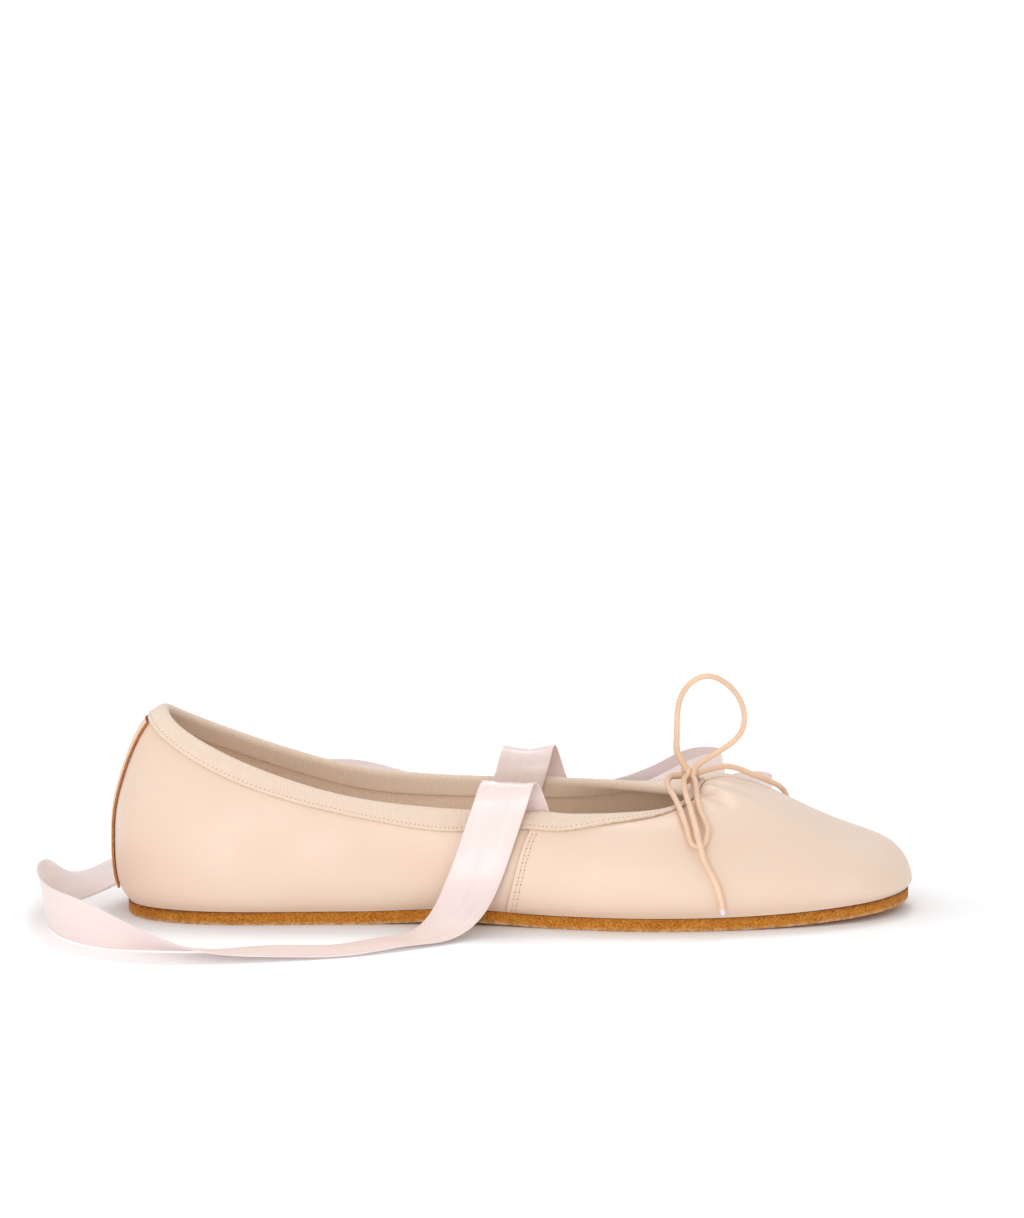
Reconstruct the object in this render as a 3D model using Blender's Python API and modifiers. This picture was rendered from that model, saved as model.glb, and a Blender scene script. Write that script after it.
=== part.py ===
"""A soft leather ballet flat with a drawstring bow and two satin ankle ribbons, the right shoe of a pair.

+X points to the toe, -Y to the outer side of the foot, and the floor is Z = 0.
"""

import math

import bmesh
import bpy
import numpy as np

# Driving sizes of the last, in metres.
LENGTH = 0.2535
BALL_WIDTH = 0.078
HEEL_HEIGHT = 0.0599
INSTEP_HEIGHT = 0.0305
TOE_SPRING = 0.0032
ARCH_LIFT = 0.0010

# Thicknesses and clearances.
WALL = 0.0013
SOLE_THICKNESS = 0.0038
SOLE_ARRIS = 0.0005
INSOLE_THICKNESS = 0.0022
LASTING_MARGIN = 0.0022
CLEARANCE = 0.0003
BINDING_THICKNESS = 0.0007
BINDING_DROP = 0.0054
HEEL_STRIP_WIDTH = 0.0125
HEEL_STRIP_THICKNESS = 0.0009
HEEL_STRIP_FOOT = 0.20
HEEL_STRIP_STEPS = 12
SEAM_STEP = 0.0008
SEAM_MARGIN = 0.012
CORD_DIAMETER = 0.0018
RIBBON_WIDTH = 0.016
RIBBON_THICKNESS = 0.0006

# How far apart the ribs of the upper stand round the sole.
RIB_SPACING = 0.0068
SEAM_HALF_GAP = 0.00025

# Where the wall has its points between the foot and the collar tape, as shares of that way.
WALL_STEPS = np.array([0.0, 0.07, 0.15, 0.25, 0.37, 0.49, 0.61, 0.73, 0.83, 0.92])
SEAM_FADE = 0.16

# Where the sole leaves the floor, as shares of the length.
SPRING_START = 0.72
ARCH_START = 0.30
ARCH_END = 0.56

# Places round the shoe, from the back of the heel to the tip of the toe. The foot of the upper stands on
# the sole's edge, the rim is the collar. Along is a share of LENGTH, across a share of BALL_WIDTH, and
# rise goes from 0 at INSTEP_HEIGHT to 1 at HEEL_HEIGHT.
STATION_COLUMNS = ("foot_along", "foot_outer", "foot_inner", "rim_along", "rim_across", "rim_rise")
STATIONS = {
    "heel_back": (0.021, 0.000, 0.000, 0.066, 0.000, 1.000),
    "heel_turn": (0.037, 0.212, 0.212, 0.081, 0.165, 0.878),
    "heel_side": (0.098, 0.338, 0.325, 0.132, 0.282, 0.639),
    "quarter": (0.208, 0.365, 0.340, 0.224, 0.345, 0.333),
    "waist": (0.358, 0.356, 0.282, 0.358, 0.366, 0.080),
    "seam": (0.494, 0.400, 0.330, 0.522, 0.390, 0.000),
    "ball_back": (0.634, 0.492, 0.455, 0.628, 0.368, 0.000),
    "ball_front": (0.760, 0.480, 0.500, 0.688, 0.262, 0.000),
    "toe_side": (0.882, 0.385, 0.412, 0.714, 0.145, 0.030),
    "toe_corner": (0.962, 0.225, 0.270, 0.7215, 0.068, 0.062),
    "toe_tip": (0.994, -0.026, 0.026, 0.7235, 0.000, 0.082),
}

# The side of the upper at some of those places: four guides of the curve from the foot to the rim. Reach is
# a share of the way from foot to rim on the floor, out a share of BALL_WIDTH beyond it, and up a share of
# the height from foot to rim.
PROFILE_COLUMNS = (
    "belly_reach", "belly_out", "belly_up",
    "shoulder_reach", "shoulder_out", "shoulder_up",
    "slope_reach", "slope_out", "slope_up",
    "crown_reach", "crown_out", "crown_up",
)
PROFILES = {
    "heel_back": (0.0, 0.052, 0.060, 0.00, 0.056, 0.380, 0.00, 0.044, 0.58, 0.48, 0.000, 0.97),
    "heel_side": (0.0, 0.060, 0.080, 0.00, 0.068, 0.360, 0.30, 0.051, 0.66, 0.75, 0.020, 0.90),
    "waist": (0.0, 0.056, 0.120, 0.25, 0.064, 0.360, 0.60, 0.050, 0.63, 0.85, 0.022, 0.86),
    "ball_back": (0.0, 0.058, 0.130, 0.00, 0.066, 0.400, 0.12, 0.050, 0.70, 0.50, 0.024, 0.93),
    "ball_front": (0.0, 0.052, 0.150, 0.02, 0.054, 0.490, 0.28, 0.036, 0.82, 0.76, 0.010, 1.10),
    "toe_side": (0.0, 0.044, 0.150, 0.02, 0.034, 0.540, 0.27, 0.015, 0.73, 0.84, 0.000, 1.30),
    "toe_corner": (0.0, 0.045, 0.064, 0.05, 0.012, 0.530, 0.28, 0.000, 0.60, 0.90, 0.000, 1.40),
    "toe_tip": (0.0, 0.038, 0.030, 0.055, 0.000, 0.529, 0.283, 0.000, 0.554, 0.917, 0.000, 1.35),
}

# The bow's round leather cord, each run chosen by hand, in metres. The knot lies on the collar tape at the
# throat, two loops and two ends come out of it.
KNOT_PLACE = (0.0560, -0.0016, 0.0425)
KNOT_SIZE = (0.0056, 0.0052, 0.0042)
BOW_RUNS = {
    "bow_loop_upright": (
        (0.0546, -0.0020, 0.0453), (0.0522, -0.0023, 0.0495), (0.0518, -0.0027, 0.0550),
        (0.0519, -0.0030, 0.0610), (0.0525, -0.0030, 0.0660), (0.0543, -0.0030, 0.0702),
        (0.0575, -0.0030, 0.0733), (0.0614, -0.0024, 0.0744), (0.0654, -0.0020, 0.0732),
        (0.0692, -0.0014, 0.0702), (0.0718, -0.0008, 0.0664), (0.0731, -0.0002, 0.0617),
        (0.0727, 0.0000, 0.0573), (0.0699, 0.0000, 0.0533), (0.0655, -0.0002, 0.0502),
        (0.0614, -0.0004, 0.0477), (0.0582, -0.0008, 0.0452),
    ),
    "bow_loop_side": (
        (0.0527, -0.0028, 0.0427), (0.0503, -0.0045, 0.0429), (0.0489, -0.0078, 0.0421),
        (0.0490, -0.0122, 0.0408), (0.0500, -0.0172, 0.0397), (0.0509, -0.0218, 0.0387),
        (0.0522, -0.0276, 0.0366), (0.0534, -0.0325, 0.0339), (0.0546, -0.0364, 0.0304),
        (0.0560, -0.0388, 0.0276), (0.0582, -0.0390, 0.0271), (0.0600, -0.0370, 0.0292),
        (0.0605, -0.0343, 0.0315), (0.0596, -0.0313, 0.0340), (0.0584, -0.0270, 0.0363),
        (0.0578, -0.0215, 0.0384), (0.0577, -0.0160, 0.0401), (0.0576, -0.0105, 0.0415),
        (0.0572, -0.0062, 0.0424),
    ),
    "bow_end_side": (
        (0.0548, -0.0053, 0.0428), (0.0539, -0.0100, 0.0425), (0.0539, -0.0150, 0.0413),
        (0.0543, -0.0210, 0.0396), (0.0552, -0.0270, 0.0374), (0.0560, -0.0325, 0.0348),
        (0.0568, -0.0372, 0.0324), (0.0576, -0.0405, 0.0292), (0.0585, -0.0417, 0.0258),
        (0.0594, -0.0420, 0.0230), (0.0607, -0.0426, 0.0205), (0.0623, -0.0433, 0.0175),
        (0.0634, -0.0436, 0.0148), (0.0642, -0.0436, 0.0120), (0.0648, -0.0430, 0.0092),
        (0.0651, -0.0420, 0.0067),
    ),
    "bow_end_far": (
        (0.0591, 0.0002, 0.0431), (0.0634, 0.0025, 0.0440), (0.0672, 0.0042, 0.0444),
        (0.0712, 0.0055, 0.0436), (0.0751, 0.0068, 0.0418), (0.0788, 0.0086, 0.0401),
        (0.0815, 0.0112, 0.0385), (0.0838, 0.0145, 0.0369), (0.0856, 0.0185, 0.0352),
        (0.0870, 0.0228, 0.0331), (0.0880, 0.0270, 0.0306), (0.0885, 0.0305, 0.0280),
    ),
}

# The ankle ribbons lie untied: out of the collar, down the side and along the floor, on their edge where
# they turn. The outer one goes round the heel, and both lie in loose waves beside the inner side. Columns:
# the middle of the ribbon in metres, then where its width points, as a heading on the floor and a tilt
# above it in degrees.
RIBBON_COLUMNS = ("x", "y", "z", "heading", "tilt")
RIBBON_RUNS = {
    "ribbon_outer": (
        (0.0055, -0.0282, 0.0263, -5, 0), (0.0048, -0.0275, 0.03, -4, 0), (0.0038, -0.0268, 0.034, -3, 0),
        (0.0022, -0.0266, 0.0388, -3, 0), (0.0004, -0.0282, 0.0436, -1, 0),
        (-0.0012, -0.032, 0.0454, 0, 0), (-0.0029, -0.0353, 0.042, 0, 0), (-0.0049, -0.0362, 0.036, 0, 0),
        (-0.0074, -0.0366, 0.0285, 0, 0), (-0.0102, -0.0376, 0.0205, -3, 0),
        (-0.0135, -0.0398, 0.013, -8, 0), (-0.0178, -0.0442, 0.0065, -20, 0),
        (-0.025, -0.051, 0.002, -36, 0), (-0.036, -0.0586, 0.0015, -52, 0),
        (-0.051, -0.0673, 0.001, -64, 0), (-0.072, -0.0735, 0.0018, -76, 0),
        (-0.094, -0.0763, 0.0026, -90, 12), (-0.113, -0.0735, 0.0057, -107, 40),
        (-0.129, -0.064, 0.0082, -131, 70), (-0.14, -0.049, 0.0086, -150, 79),
        (-0.1455, -0.031, 0.0086, -169, 80), (-0.1465, -0.012, 0.0084, -183, 76),
        (-0.143, 0.009, 0.0068, -193, 54), (-0.137, 0.031, 0.003, -197, 18),
        (-0.13, 0.054, 0.0008, -198, 2), (-0.122, 0.0774, 0.0015, -200, 0),
        (-0.114, 0.0987, 0.0016, -202, 5), (-0.104, 0.123, 0.0044, -208, 30),
        (-0.0915, 0.144, 0.0078, -220, 66), (-0.076, 0.161, 0.0086, -234, 78),
        (-0.057, 0.1735, 0.0083, -250, 70), (-0.036, 0.1795, 0.0053, -263, 34),
        (-0.012, 0.181, 0.0028, -272, 6), (0.014, 0.1787, 0.0012, -275, 0),
        (0.036, 0.177, 0.0016, -273, 6), (0.056, 0.178, 0.0054, -264, 38),
        (0.07, 0.183, 0.0083, -236, 72), (0.0745, 0.1925, 0.0086, -180, 81),
        (0.068, 0.2015, 0.0083, -134, 74), (0.051, 0.2055, 0.005, -101, 34),
        (0.028, 0.2064, 0.0021, -90, 4), (0.004, 0.2047, 0.001, -87, 0), (-0.02, 0.204, 0.0018, -86, 0),
    ),
    "ribbon_inner": (
        (-0.001, 0.0272, 0.0263, 4, 0), (0.0002, 0.0267, 0.03, 3, 0), (0.0015, 0.0264, 0.034, 3, 0),
        (0.003, 0.0266, 0.0388, 3, 0), (0.0044, 0.0282, 0.0434, 3, 0), (0.0056, 0.0322, 0.0452, 3, 0),
        (0.0072, 0.0358, 0.0416, 4, 0), (0.0094, 0.0372, 0.0345, 7, 0), (0.0122, 0.0386, 0.0265, 9, 0),
        (0.0152, 0.0406, 0.0188, 7, 0), (0.0188, 0.044, 0.0116, -2, 0), (0.0236, 0.0494, 0.0054, -20, 0),
        (0.0305, 0.0556, 0.0018, -38, 0), (0.041, 0.0619, 0.0015, -56, 0),
        (0.056, 0.0657, 0.0018, -72, 6), (0.073, 0.0685, 0.0048, -77, 36),
        (0.087, 0.0725, 0.008, -60, 68), (0.096, 0.08, 0.0086, -26, 79), (0.0955, 0.09, 0.0086, 26, 80),
        (0.086, 0.097, 0.0083, 64, 70), (0.069, 0.0995, 0.005, 84, 34), (0.046, 0.099, 0.0024, 92, 4),
        (0.02, 0.0967, 0.0012, 94, 0), (-0.006, 0.095, 0.0008, 92, 0), (-0.034, 0.0949, 0.0021, 88, 5),
        (-0.057, 0.096, 0.0048, 82, 34), (-0.075, 0.1, 0.0082, 60, 70), (-0.0845, 0.1075, 0.0086, 20, 80),
        (-0.0835, 0.1175, 0.0086, -30, 80), (-0.073, 0.124, 0.0082, -68, 70),
        (-0.054, 0.126, 0.0047, -86, 32), (-0.03, 0.1242, 0.0016, -93, 4),
        (-0.004, 0.123, 0.0018, -94, 0), (0.022, 0.1217, 0.0012, -91, 0), (0.046, 0.1215, 0.0018, -87, 7),
        (0.067, 0.1245, 0.0053, -76, 38), (0.082, 0.131, 0.0083, -50, 72),
        (0.088, 0.1405, 0.0086, -4, 81), (0.0825, 0.1495, 0.0083, 44, 74), (0.067, 0.154, 0.005, 80, 36),
        (0.044, 0.1549, 0.0021, 91, 4), (0.018, 0.1527, 0.001, 92, 0), (-0.01, 0.1525, 0.0018, 91, 0),
        (-0.038, 0.1522, 0.0012, 90, 0), (-0.062, 0.153, 0.0008, 91, 0),
    ),
}
RIBBON_STEP = 0.0102
CORD_STEP = 0.0046

COLOURS = {
    "nude_leather": (0.86, 0.68, 0.55, 1.0),
    "sole_leather": (0.55, 0.27, 0.08, 1.0),
    "collar_tape": (0.88, 0.71, 0.56, 1.0),
    "insole_leather": (0.78, 0.62, 0.48, 1.0),
    "bow_cord": (0.90, 0.68, 0.42, 1.0),
    "satin": (0.88, 0.72, 0.70, 1.0),
}


def clear_scene():
    for thing in list(bpy.data.objects):
        bpy.data.objects.remove(thing, do_unlink=True)


def make_collection(name):
    collection = bpy.data.collections.new(name)
    bpy.context.scene.collection.children.link(collection)
    return collection


def make_material(name, roughness):
    material = bpy.data.materials.new(name)
    material.use_nodes = True
    shader = material.node_tree.nodes["Principled BSDF"]
    shader.inputs["Base Color"].default_value = COLOURS[name]
    shader.inputs["Roughness"].default_value = roughness
    return material


def smooth_step(share):
    share = np.clip(share, 0.0, 1.0)
    return share * share * (3.0 - 2.0 * share)


def lift(along):
    """How far the sole's underside stands off the floor at this share of the length."""
    spring = np.clip((along - SPRING_START) / (1.0 - SPRING_START), 0.0, None) ** 2
    arch = np.sin(np.pi * np.clip((along - ARCH_START) / (ARCH_END - ARCH_START), 0.0, 1.0)) ** 2
    return TOE_SPRING * spring + ARCH_LIFT * arch


def closed_spline(knots, values, period, at):
    """A smooth closed curve through values at the knots, read at the places at."""
    count = len(knots)
    spans = np.diff(np.append(knots, knots[0] + period))
    matrix = np.zeros((count, count))
    right = np.zeros((count, values.shape[1]))
    rises = (np.roll(values, -1, axis=0) - values) / spans[:, None]
    for row in range(count):
        before = spans[row - 1]
        after = spans[row]
        matrix[row, row - 1] += after
        matrix[row, row] += 2.0 * (before + after)
        matrix[row, (row + 1) % count] += before
        right[row] = 3.0 * (after * rises[row - 1] + before * rises[row])
    slopes = np.linalg.solve(matrix, right)
    at = np.mod(np.asarray(at) - knots[0], period) + knots[0]
    span = np.clip(np.searchsorted(knots, at, side="right") - 1, 0, count - 1)
    following = (span + 1) % count
    width = spans[span][:, None]
    share = ((at - knots[span]) / spans[span])[:, None]
    start = values[span]
    end = values[following]
    return (
        (1 + 2 * share) * (1 - share) ** 2 * start
        + share * (1 - share) ** 2 * width * slopes[span]
        + share**2 * (3 - 2 * share) * end
        + share**2 * (share - 1) * width * slopes[following]
    )


def guide_weights(shares, guides, degree=3):
    """The weight of each guide of a clamped B-spline at each share of its length, one row a share."""
    inner = guides - degree
    knots = np.concatenate([np.zeros(degree), np.linspace(0, 1, inner + 1), np.ones(degree)])
    shares = np.clip(np.asarray(shares, float), 0.0, 1.0 - 1e-9)[:, None]
    weights = ((knots[:-1] <= shares) & (shares < knots[1:])).astype(float)
    for order in range(1, degree + 1):
        count = weights.shape[1] - 1
        rising = knots[order : order + count] - knots[:count]
        falling = knots[order + 1 : order + 1 + count] - knots[1 : 1 + count]
        rising = np.where(rising > 0, rising, 1.0)
        falling = np.where(falling > 0, falling, 1.0)
        weights = (
            weights[:, :-1] * (shares - knots[:count]) / rising
            + weights[:, 1:] * (knots[order + 1 : order + 1 + count] - shares) / falling
        )
    return weights


def smooth_path(points, step):
    """Even steps along a smooth curve through the points; further columns are carried along."""
    points = np.asarray(points, float)
    count = len(points)
    knots = np.append(0.0, np.cumsum(np.linalg.norm(np.diff(points[:, :3], axis=0), axis=1)))
    spans = np.diff(knots)
    matrix = np.zeros((count, count))
    right = np.zeros(points.shape)
    matrix[0, :2] = (2.0, 1.0)
    matrix[-1, -2:] = (1.0, 2.0)
    rises = np.diff(points, axis=0) / spans[:, None]
    right[0] = 3.0 * rises[0]
    right[-1] = 3.0 * rises[-1]
    for row in range(1, count - 1):
        before = spans[row - 1]
        after = spans[row]
        matrix[row, row - 1 : row + 2] = (after, 2.0 * (before + after), before)
        right[row] = 3.0 * (after * rises[row - 1] + before * rises[row])
    slopes = np.linalg.solve(matrix, right)

    def read(at):
        span = np.clip(np.searchsorted(knots, at, side="right") - 1, 0, count - 2)
        width = spans[span][:, None]
        share = ((at - knots[span]) / spans[span])[:, None]
        return (
            (1 + 2 * share) * (1 - share) ** 2 * points[span]
            + share * (1 - share) ** 2 * width * slopes[span]
            + share**2 * (3 - 2 * share) * points[span + 1]
            + share**2 * (share - 1) * width * slopes[span + 1]
        )

    fine = np.linspace(0, knots[-1], 2000)
    walked = np.append(0.0, np.cumsum(np.linalg.norm(np.diff(read(fine)[:, :3], axis=0), axis=1)))
    stops = np.linspace(0, walked[-1], max(2, round(walked[-1] / step)) + 1)
    return read(np.interp(stops, walked, fine))


class Last:
    """The outer surface of the upper: u goes once round the sole, v from the foot to the rim."""

    def __init__(self):
        names = list(STATIONS)
        rows = [dict(zip(STATION_COLUMNS, STATIONS[name])) for name in names]
        outer = [(name, row, -1.0, "foot_outer") for name, row in zip(names, rows)]
        inner = [(name, row, 1.0, "foot_inner") for name, row in zip(names, rows)][-2:0:-1]
        self.round = outer + inner
        feet = []
        rims = []
        for _, row, side, column in self.round:
            across = side * row[column] * BALL_WIDTH
            feet.append((row["foot_along"] * LENGTH, across))
            rise = INSTEP_HEIGHT + row["rim_rise"] * (HEEL_HEIGHT - INSTEP_HEIGHT)
            rims.append((row["rim_along"] * LENGTH, side * row["rim_across"] * BALL_WIDTH, rise))
        self.lines = np.hstack([np.array(feet), np.array(rims)])
        steps = np.linalg.norm(np.diff(np.vstack([feet, feet[:1]]), axis=0), axis=1)
        self.knots = np.concatenate([[0.0], np.cumsum(steps)[:-1]])
        self.period = float(steps.sum())
        kept = [index for index, (name, *_) in enumerate(self.round) if name in PROFILES]
        self.profile_knots = self.knots[kept]
        self.profiles = np.array([PROFILES[self.round[index][0]] for index in kept])
        self.middle = np.zeros(2)
        self.middle = self.box_middle()

    def place(self, name, side=-1.0):
        for knot, (station, _, station_side, _) in zip(self.knots, self.round):
            if station == name and station_side == side:
                return float(knot)
        raise KeyError(name)

    def box_middle(self):
        """The middle of the shoe's box on the floor, with the heel strip counted."""
        points = self.surface(np.linspace(0, self.period, 400), np.linspace(0, 1, 30)).reshape(-1, 3)
        low = points[:, :2].min(axis=0)
        high = points[:, :2].max(axis=0)
        low[0] -= CLEARANCE + HEEL_STRIP_THICKNESS
        return (low + high) / 2

    def outline(self, u, inset=0.0):
        """The sole's edge on the floor, moved in by inset, with its outward directions."""
        step = 1e-5
        edge = closed_spline(self.knots, self.lines, self.period, u)[:, :2]
        ahead = closed_spline(self.knots, self.lines, self.period, np.asarray(u) + step)[:, :2]
        behind = closed_spline(self.knots, self.lines, self.period, np.asarray(u) - step)[:, :2]
        run = ahead - behind
        run /= np.linalg.norm(run, axis=1)[:, None]
        # Going round by the outer side, the way out is on the right hand.
        out = np.stack([run[:, 1], -run[:, 0]], axis=1)
        return edge - inset * out - self.middle, out

    def surface(self, u, v, raised=0.0):
        """Points of the outer surface, one row for each u, at v or at that row of v."""
        u = np.atleast_1d(np.asarray(u, float))
        foot, out = self.outline(u)
        lines = closed_spline(self.knots, self.lines, self.period, u)
        rim = lines[:, 2:4] - self.middle
        along = lines[:, 0] / LENGTH
        floor = SOLE_THICKNESS + CLEARANCE
        foot_height = floor + lift(along)
        rim_height = floor + lines[:, 4]
        profiles = closed_spline(self.profile_knots, self.profiles, self.period, u)
        guides = [np.column_stack([foot - LASTING_MARGIN * out, foot_height])]
        guides.append(np.column_stack([foot, foot_height]))
        for first in range(0, len(PROFILE_COLUMNS), 3):
            reach, beyond, up = profiles[:, first : first + 3].T
            flat = foot + reach[:, None] * (rim - foot) + beyond[:, None] * BALL_WIDTH * out
            height = foot_height + up * (rim_height - foot_height)
            guides.append(np.column_stack([flat, height]))
        guides.append(np.column_stack([rim, rim_height]))
        v = np.broadcast_to(v, (len(u), np.shape(v)[-1]))
        weights = guide_weights(v.ravel(), len(guides)).reshape(*v.shape, -1)
        points = np.einsum("uvg,guk->uvk", weights, np.array(guides))
        if np.any(raised):
            points = points + np.asarray(raised)[..., None] * self.normals(u, v)
        return points

    def normals(self, u, v):
        """Outward directions of the surface at the same places."""
        turn = 2e-5
        rise = 1e-4
        v = np.asarray(v, float)
        low = np.clip(v - rise, 0, 1)
        high = np.clip(v + rise, 0, 1)
        u = np.atleast_1d(np.asarray(u, float))
        round_way = self.surface(u + turn, v) - self.surface(u - turn, v)
        up_way = self.surface(u, high) - self.surface(u, low)
        normals = np.cross(round_way, up_way)
        return normals / np.linalg.norm(normals, axis=2)[..., None]

    def below_rim(self, u, drops):
        """The v of the places that lie these distances below the rim, one row for each u."""
        fine = np.linspace(0, 1, 161)
        points = self.surface(u, fine)
        steps = np.linalg.norm(np.diff(points, axis=1), axis=2)
        left = np.cumsum(steps[:, ::-1], axis=1)[:, ::-1]
        left = np.hstack([left, np.zeros((len(points), 1))])
        return np.array([np.interp(drops, row[::-1], fine[::-1]) for row in left])

    def ribs(self):
        """The places of the ribs: one at each station, a close pair at each side seam, and more between."""
        ends = np.append(self.knots, self.period)
        seams = (self.place("seam", -1.0), self.place("seam", 1.0))
        places = []
        for start, end in zip(ends[:-1], ends[1:]):
            count = max(1, math.ceil((end - start) / RIB_SPACING))
            between = list(np.linspace(start, end, count, endpoint=False))
            if start in seams:
                between[0:1] = [start - SEAM_HALF_GAP, start + SEAM_HALF_GAP]
            places += between
        return np.array(places)

    def seam_rise(self, u):
        """How far the vamp stands proud where it laps over the quarter, at each rib."""
        past_outer = u - self.place("seam", -1.0)
        past_inner = self.place("seam", 1.0) - u
        rise = np.zeros(len(u))
        for past in (past_outer, past_inner):
            on_vamp = (past > 0) & (past < SEAM_MARGIN)
            rise = np.where(on_vamp, SEAM_STEP * (1.0 - smooth_step(past / SEAM_MARGIN)), rise)
        return rise


def add_mesh(name, mesh_data, material, collection):
    mesh = bpy.data.meshes.new(name)
    bmesh.ops.recalc_face_normals(mesh_data, faces=mesh_data.faces)
    mesh_data.to_mesh(mesh)
    mesh_data.free()
    mesh.materials.append(material)
    mesh.shade_smooth()
    mesh.set_sharp_from_angle(angle=math.radians(50))
    thing = bpy.data.objects.new(name, mesh)
    collection.objects.link(thing)
    return thing


def sweep(name, sections, closed, material, collection):
    """A solid through closed sections, joined in a ring or capped at both ends."""
    data = bmesh.new()
    rows = [[data.verts.new(point) for point in section] for section in sections]
    width = len(rows[0])
    pairs = list(zip(rows[:-1], rows[1:]))
    if closed:
        pairs.append((rows[-1], rows[0]))
    else:
        data.faces.new(rows[0])
        data.faces.new(rows[-1][::-1])
    for here, there in pairs:
        for corner in range(width):
            other = (corner + 1) % width
            data.faces.new((here[corner], there[corner], there[other], here[other]))
    return add_mesh(name, data, material, collection)


def slab(name, last, levels, material, collection):
    """A flat body with the sole's outline through (inset, height) levels, then bent to the sole's lift."""
    u = np.linspace(0, last.period, int(last.period / RIB_SPACING) + 1)[:-1]
    data = bmesh.new()
    rings = []
    for inset, height in levels:
        edge, _ = last.outline(u, inset)
        rings.append([data.verts.new((x, y, height)) for x, y in edge])
    data.faces.new(rings[0])
    data.faces.new(rings[-1][::-1])
    for lower, upper in zip(rings[:-1], rings[1:]):
        for corner in range(len(lower)):
            other = (corner + 1) % len(lower)
            data.faces.new((lower[corner], upper[corner], upper[other], lower[other]))
    bends = np.concatenate([np.linspace(ARCH_START, ARCH_END, 9), np.linspace(SPRING_START, 0.99, 12)])
    for along in bends:
        place = along * LENGTH - last.middle[0]
        bmesh.ops.bisect_plane(
            data,
            geom=data.verts[:] + data.edges[:] + data.faces[:],
            dist=1e-7,
            plane_co=(place, 0, 0),
            plane_no=(1, 0, 0),
        )
    for vertex in data.verts:
        vertex.co.z += float(lift((vertex.co.x + last.middle[0]) / LENGTH))
    return add_mesh(name, data, material, collection)


def make_upper(last, material, collection):
    """One hollow wall from the sole's edge to the collar, with the vamp lapped over the quarters."""
    u = last.ribs()
    under_tape = last.below_rim(u, [BINDING_DROP, BINDING_DROP / 2, 0.0])
    rising = np.hstack([under_tape[:, :1] * WALL_STEPS, under_tape])
    falling = rising[:, ::-1]
    fade = smooth_step(np.append(WALL_STEPS, [1.0, 1.0, 1.0]) / SEAM_FADE)
    outside = last.surface(u, rising, last.seam_rise(u)[:, None] * fade)
    inside = last.surface(u, falling, -WALL * np.ones(falling.shape))
    sections = np.concatenate([outside, inside], axis=1)
    return sweep("upper", sections, True, material, collection)


def make_binding(last, material, collection):
    """The tape folded over the collar: a U-section, clear of the wall by CLEARANCE."""
    u = last.ribs()
    half_wall = WALL / 2
    far = CLEARANCE + BINDING_THICKNESS
    v = np.hstack([last.below_rim(u, [BINDING_DROP, BINDING_DROP / 2]), np.ones((len(u), 1))])
    edges = last.surface(u, v)
    outs = last.normals(u, v)
    runs = last.surface(u + 1e-4, [1.0])[:, 0] - last.surface(u - 1e-4, [1.0])[:, 0]
    sections = []
    for edge, out, run, lap in zip(edges, outs, runs, last.seam_rise(u)):
        rise = np.cross(out[2], run)
        rise /= np.linalg.norm(rise)
        core = edge[2] - out[2] * half_wall
        fold = [core]
        for degrees in (0, 60, 120, 180):
            turn = math.radians(degrees)
            fold.append(math.cos(turn) * out[2] + math.sin(turn) * rise)
        section = [edge[step] + (far + lap) * out[step] for step in (0, 1)]
        section += [core + (half_wall + far + lap) * fold[1]]
        section += [core + (half_wall + far) * way for way in fold[2:]]
        section += [edge[step] - (WALL + far) * out[step] for step in (1, 0)]
        section += [edge[step] - (WALL + CLEARANCE) * out[step] for step in (0, 1)]
        section += [core + (half_wall + CLEARANCE) * way for way in fold[:1:-1]]
        section += [core + (half_wall + CLEARANCE + lap) * fold[1]]
        section += [edge[step] + (CLEARANCE + lap) * out[step] for step in (1, 0)]
        sections.append(section)
    return sweep("collar_binding", sections, True, material, collection)


def make_heel_strip(last, material, collection):
    """The narrow strip over the back seam, from under the collar tape down to the sole."""
    u = np.linspace(-HEEL_STRIP_WIDTH / 2, HEEL_STRIP_WIDTH / 2, 7)
    top = last.below_rim(u, [BINDING_DROP + 2 * CLEARANCE])[:, 0]
    shares = np.linspace(0, 1, HEEL_STRIP_STEPS + 1)
    v = HEEL_STRIP_FOOT + np.outer(top - HEEL_STRIP_FOOT, shares)
    edges = last.surface(u, v)
    outs = last.normals(u, v)
    backs = edges + (CLEARANCE + HEEL_STRIP_THICKNESS) * outs
    fronts = (edges + CLEARANCE * outs)[::-1]
    sections = np.concatenate([backs, fronts]).swapaxes(0, 1)
    return sweep("heel_strip", sections, False, material, collection)


def make_cord(name, points, material, collection):
    """A round cord along its run, closed at both ends."""
    path = smooth_path(points, CORD_STEP)
    curve = bpy.data.curves.new(name, "CURVE")
    curve.dimensions = "3D"
    curve.bevel_depth = CORD_DIAMETER / 2
    curve.bevel_resolution = 2
    curve.use_fill_caps = True
    run = curve.splines.new("POLY")
    run.points.add(len(path) - 1)
    for point, place in zip(run.points, path):
        point.co = (*place, 1.0)
    curve.materials.append(material)
    thing = bpy.data.objects.new(name, curve)
    collection.objects.link(thing)


def make_knot(material, collection):
    data = bmesh.new()
    bmesh.ops.create_uvsphere(data, u_segments=10, v_segments=6, radius=0.5)
    bmesh.ops.scale(data, vec=KNOT_SIZE, verts=data.verts)
    bmesh.ops.translate(data, vec=KNOT_PLACE, verts=data.verts)
    add_mesh("bow_knot", data, material, collection)


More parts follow.
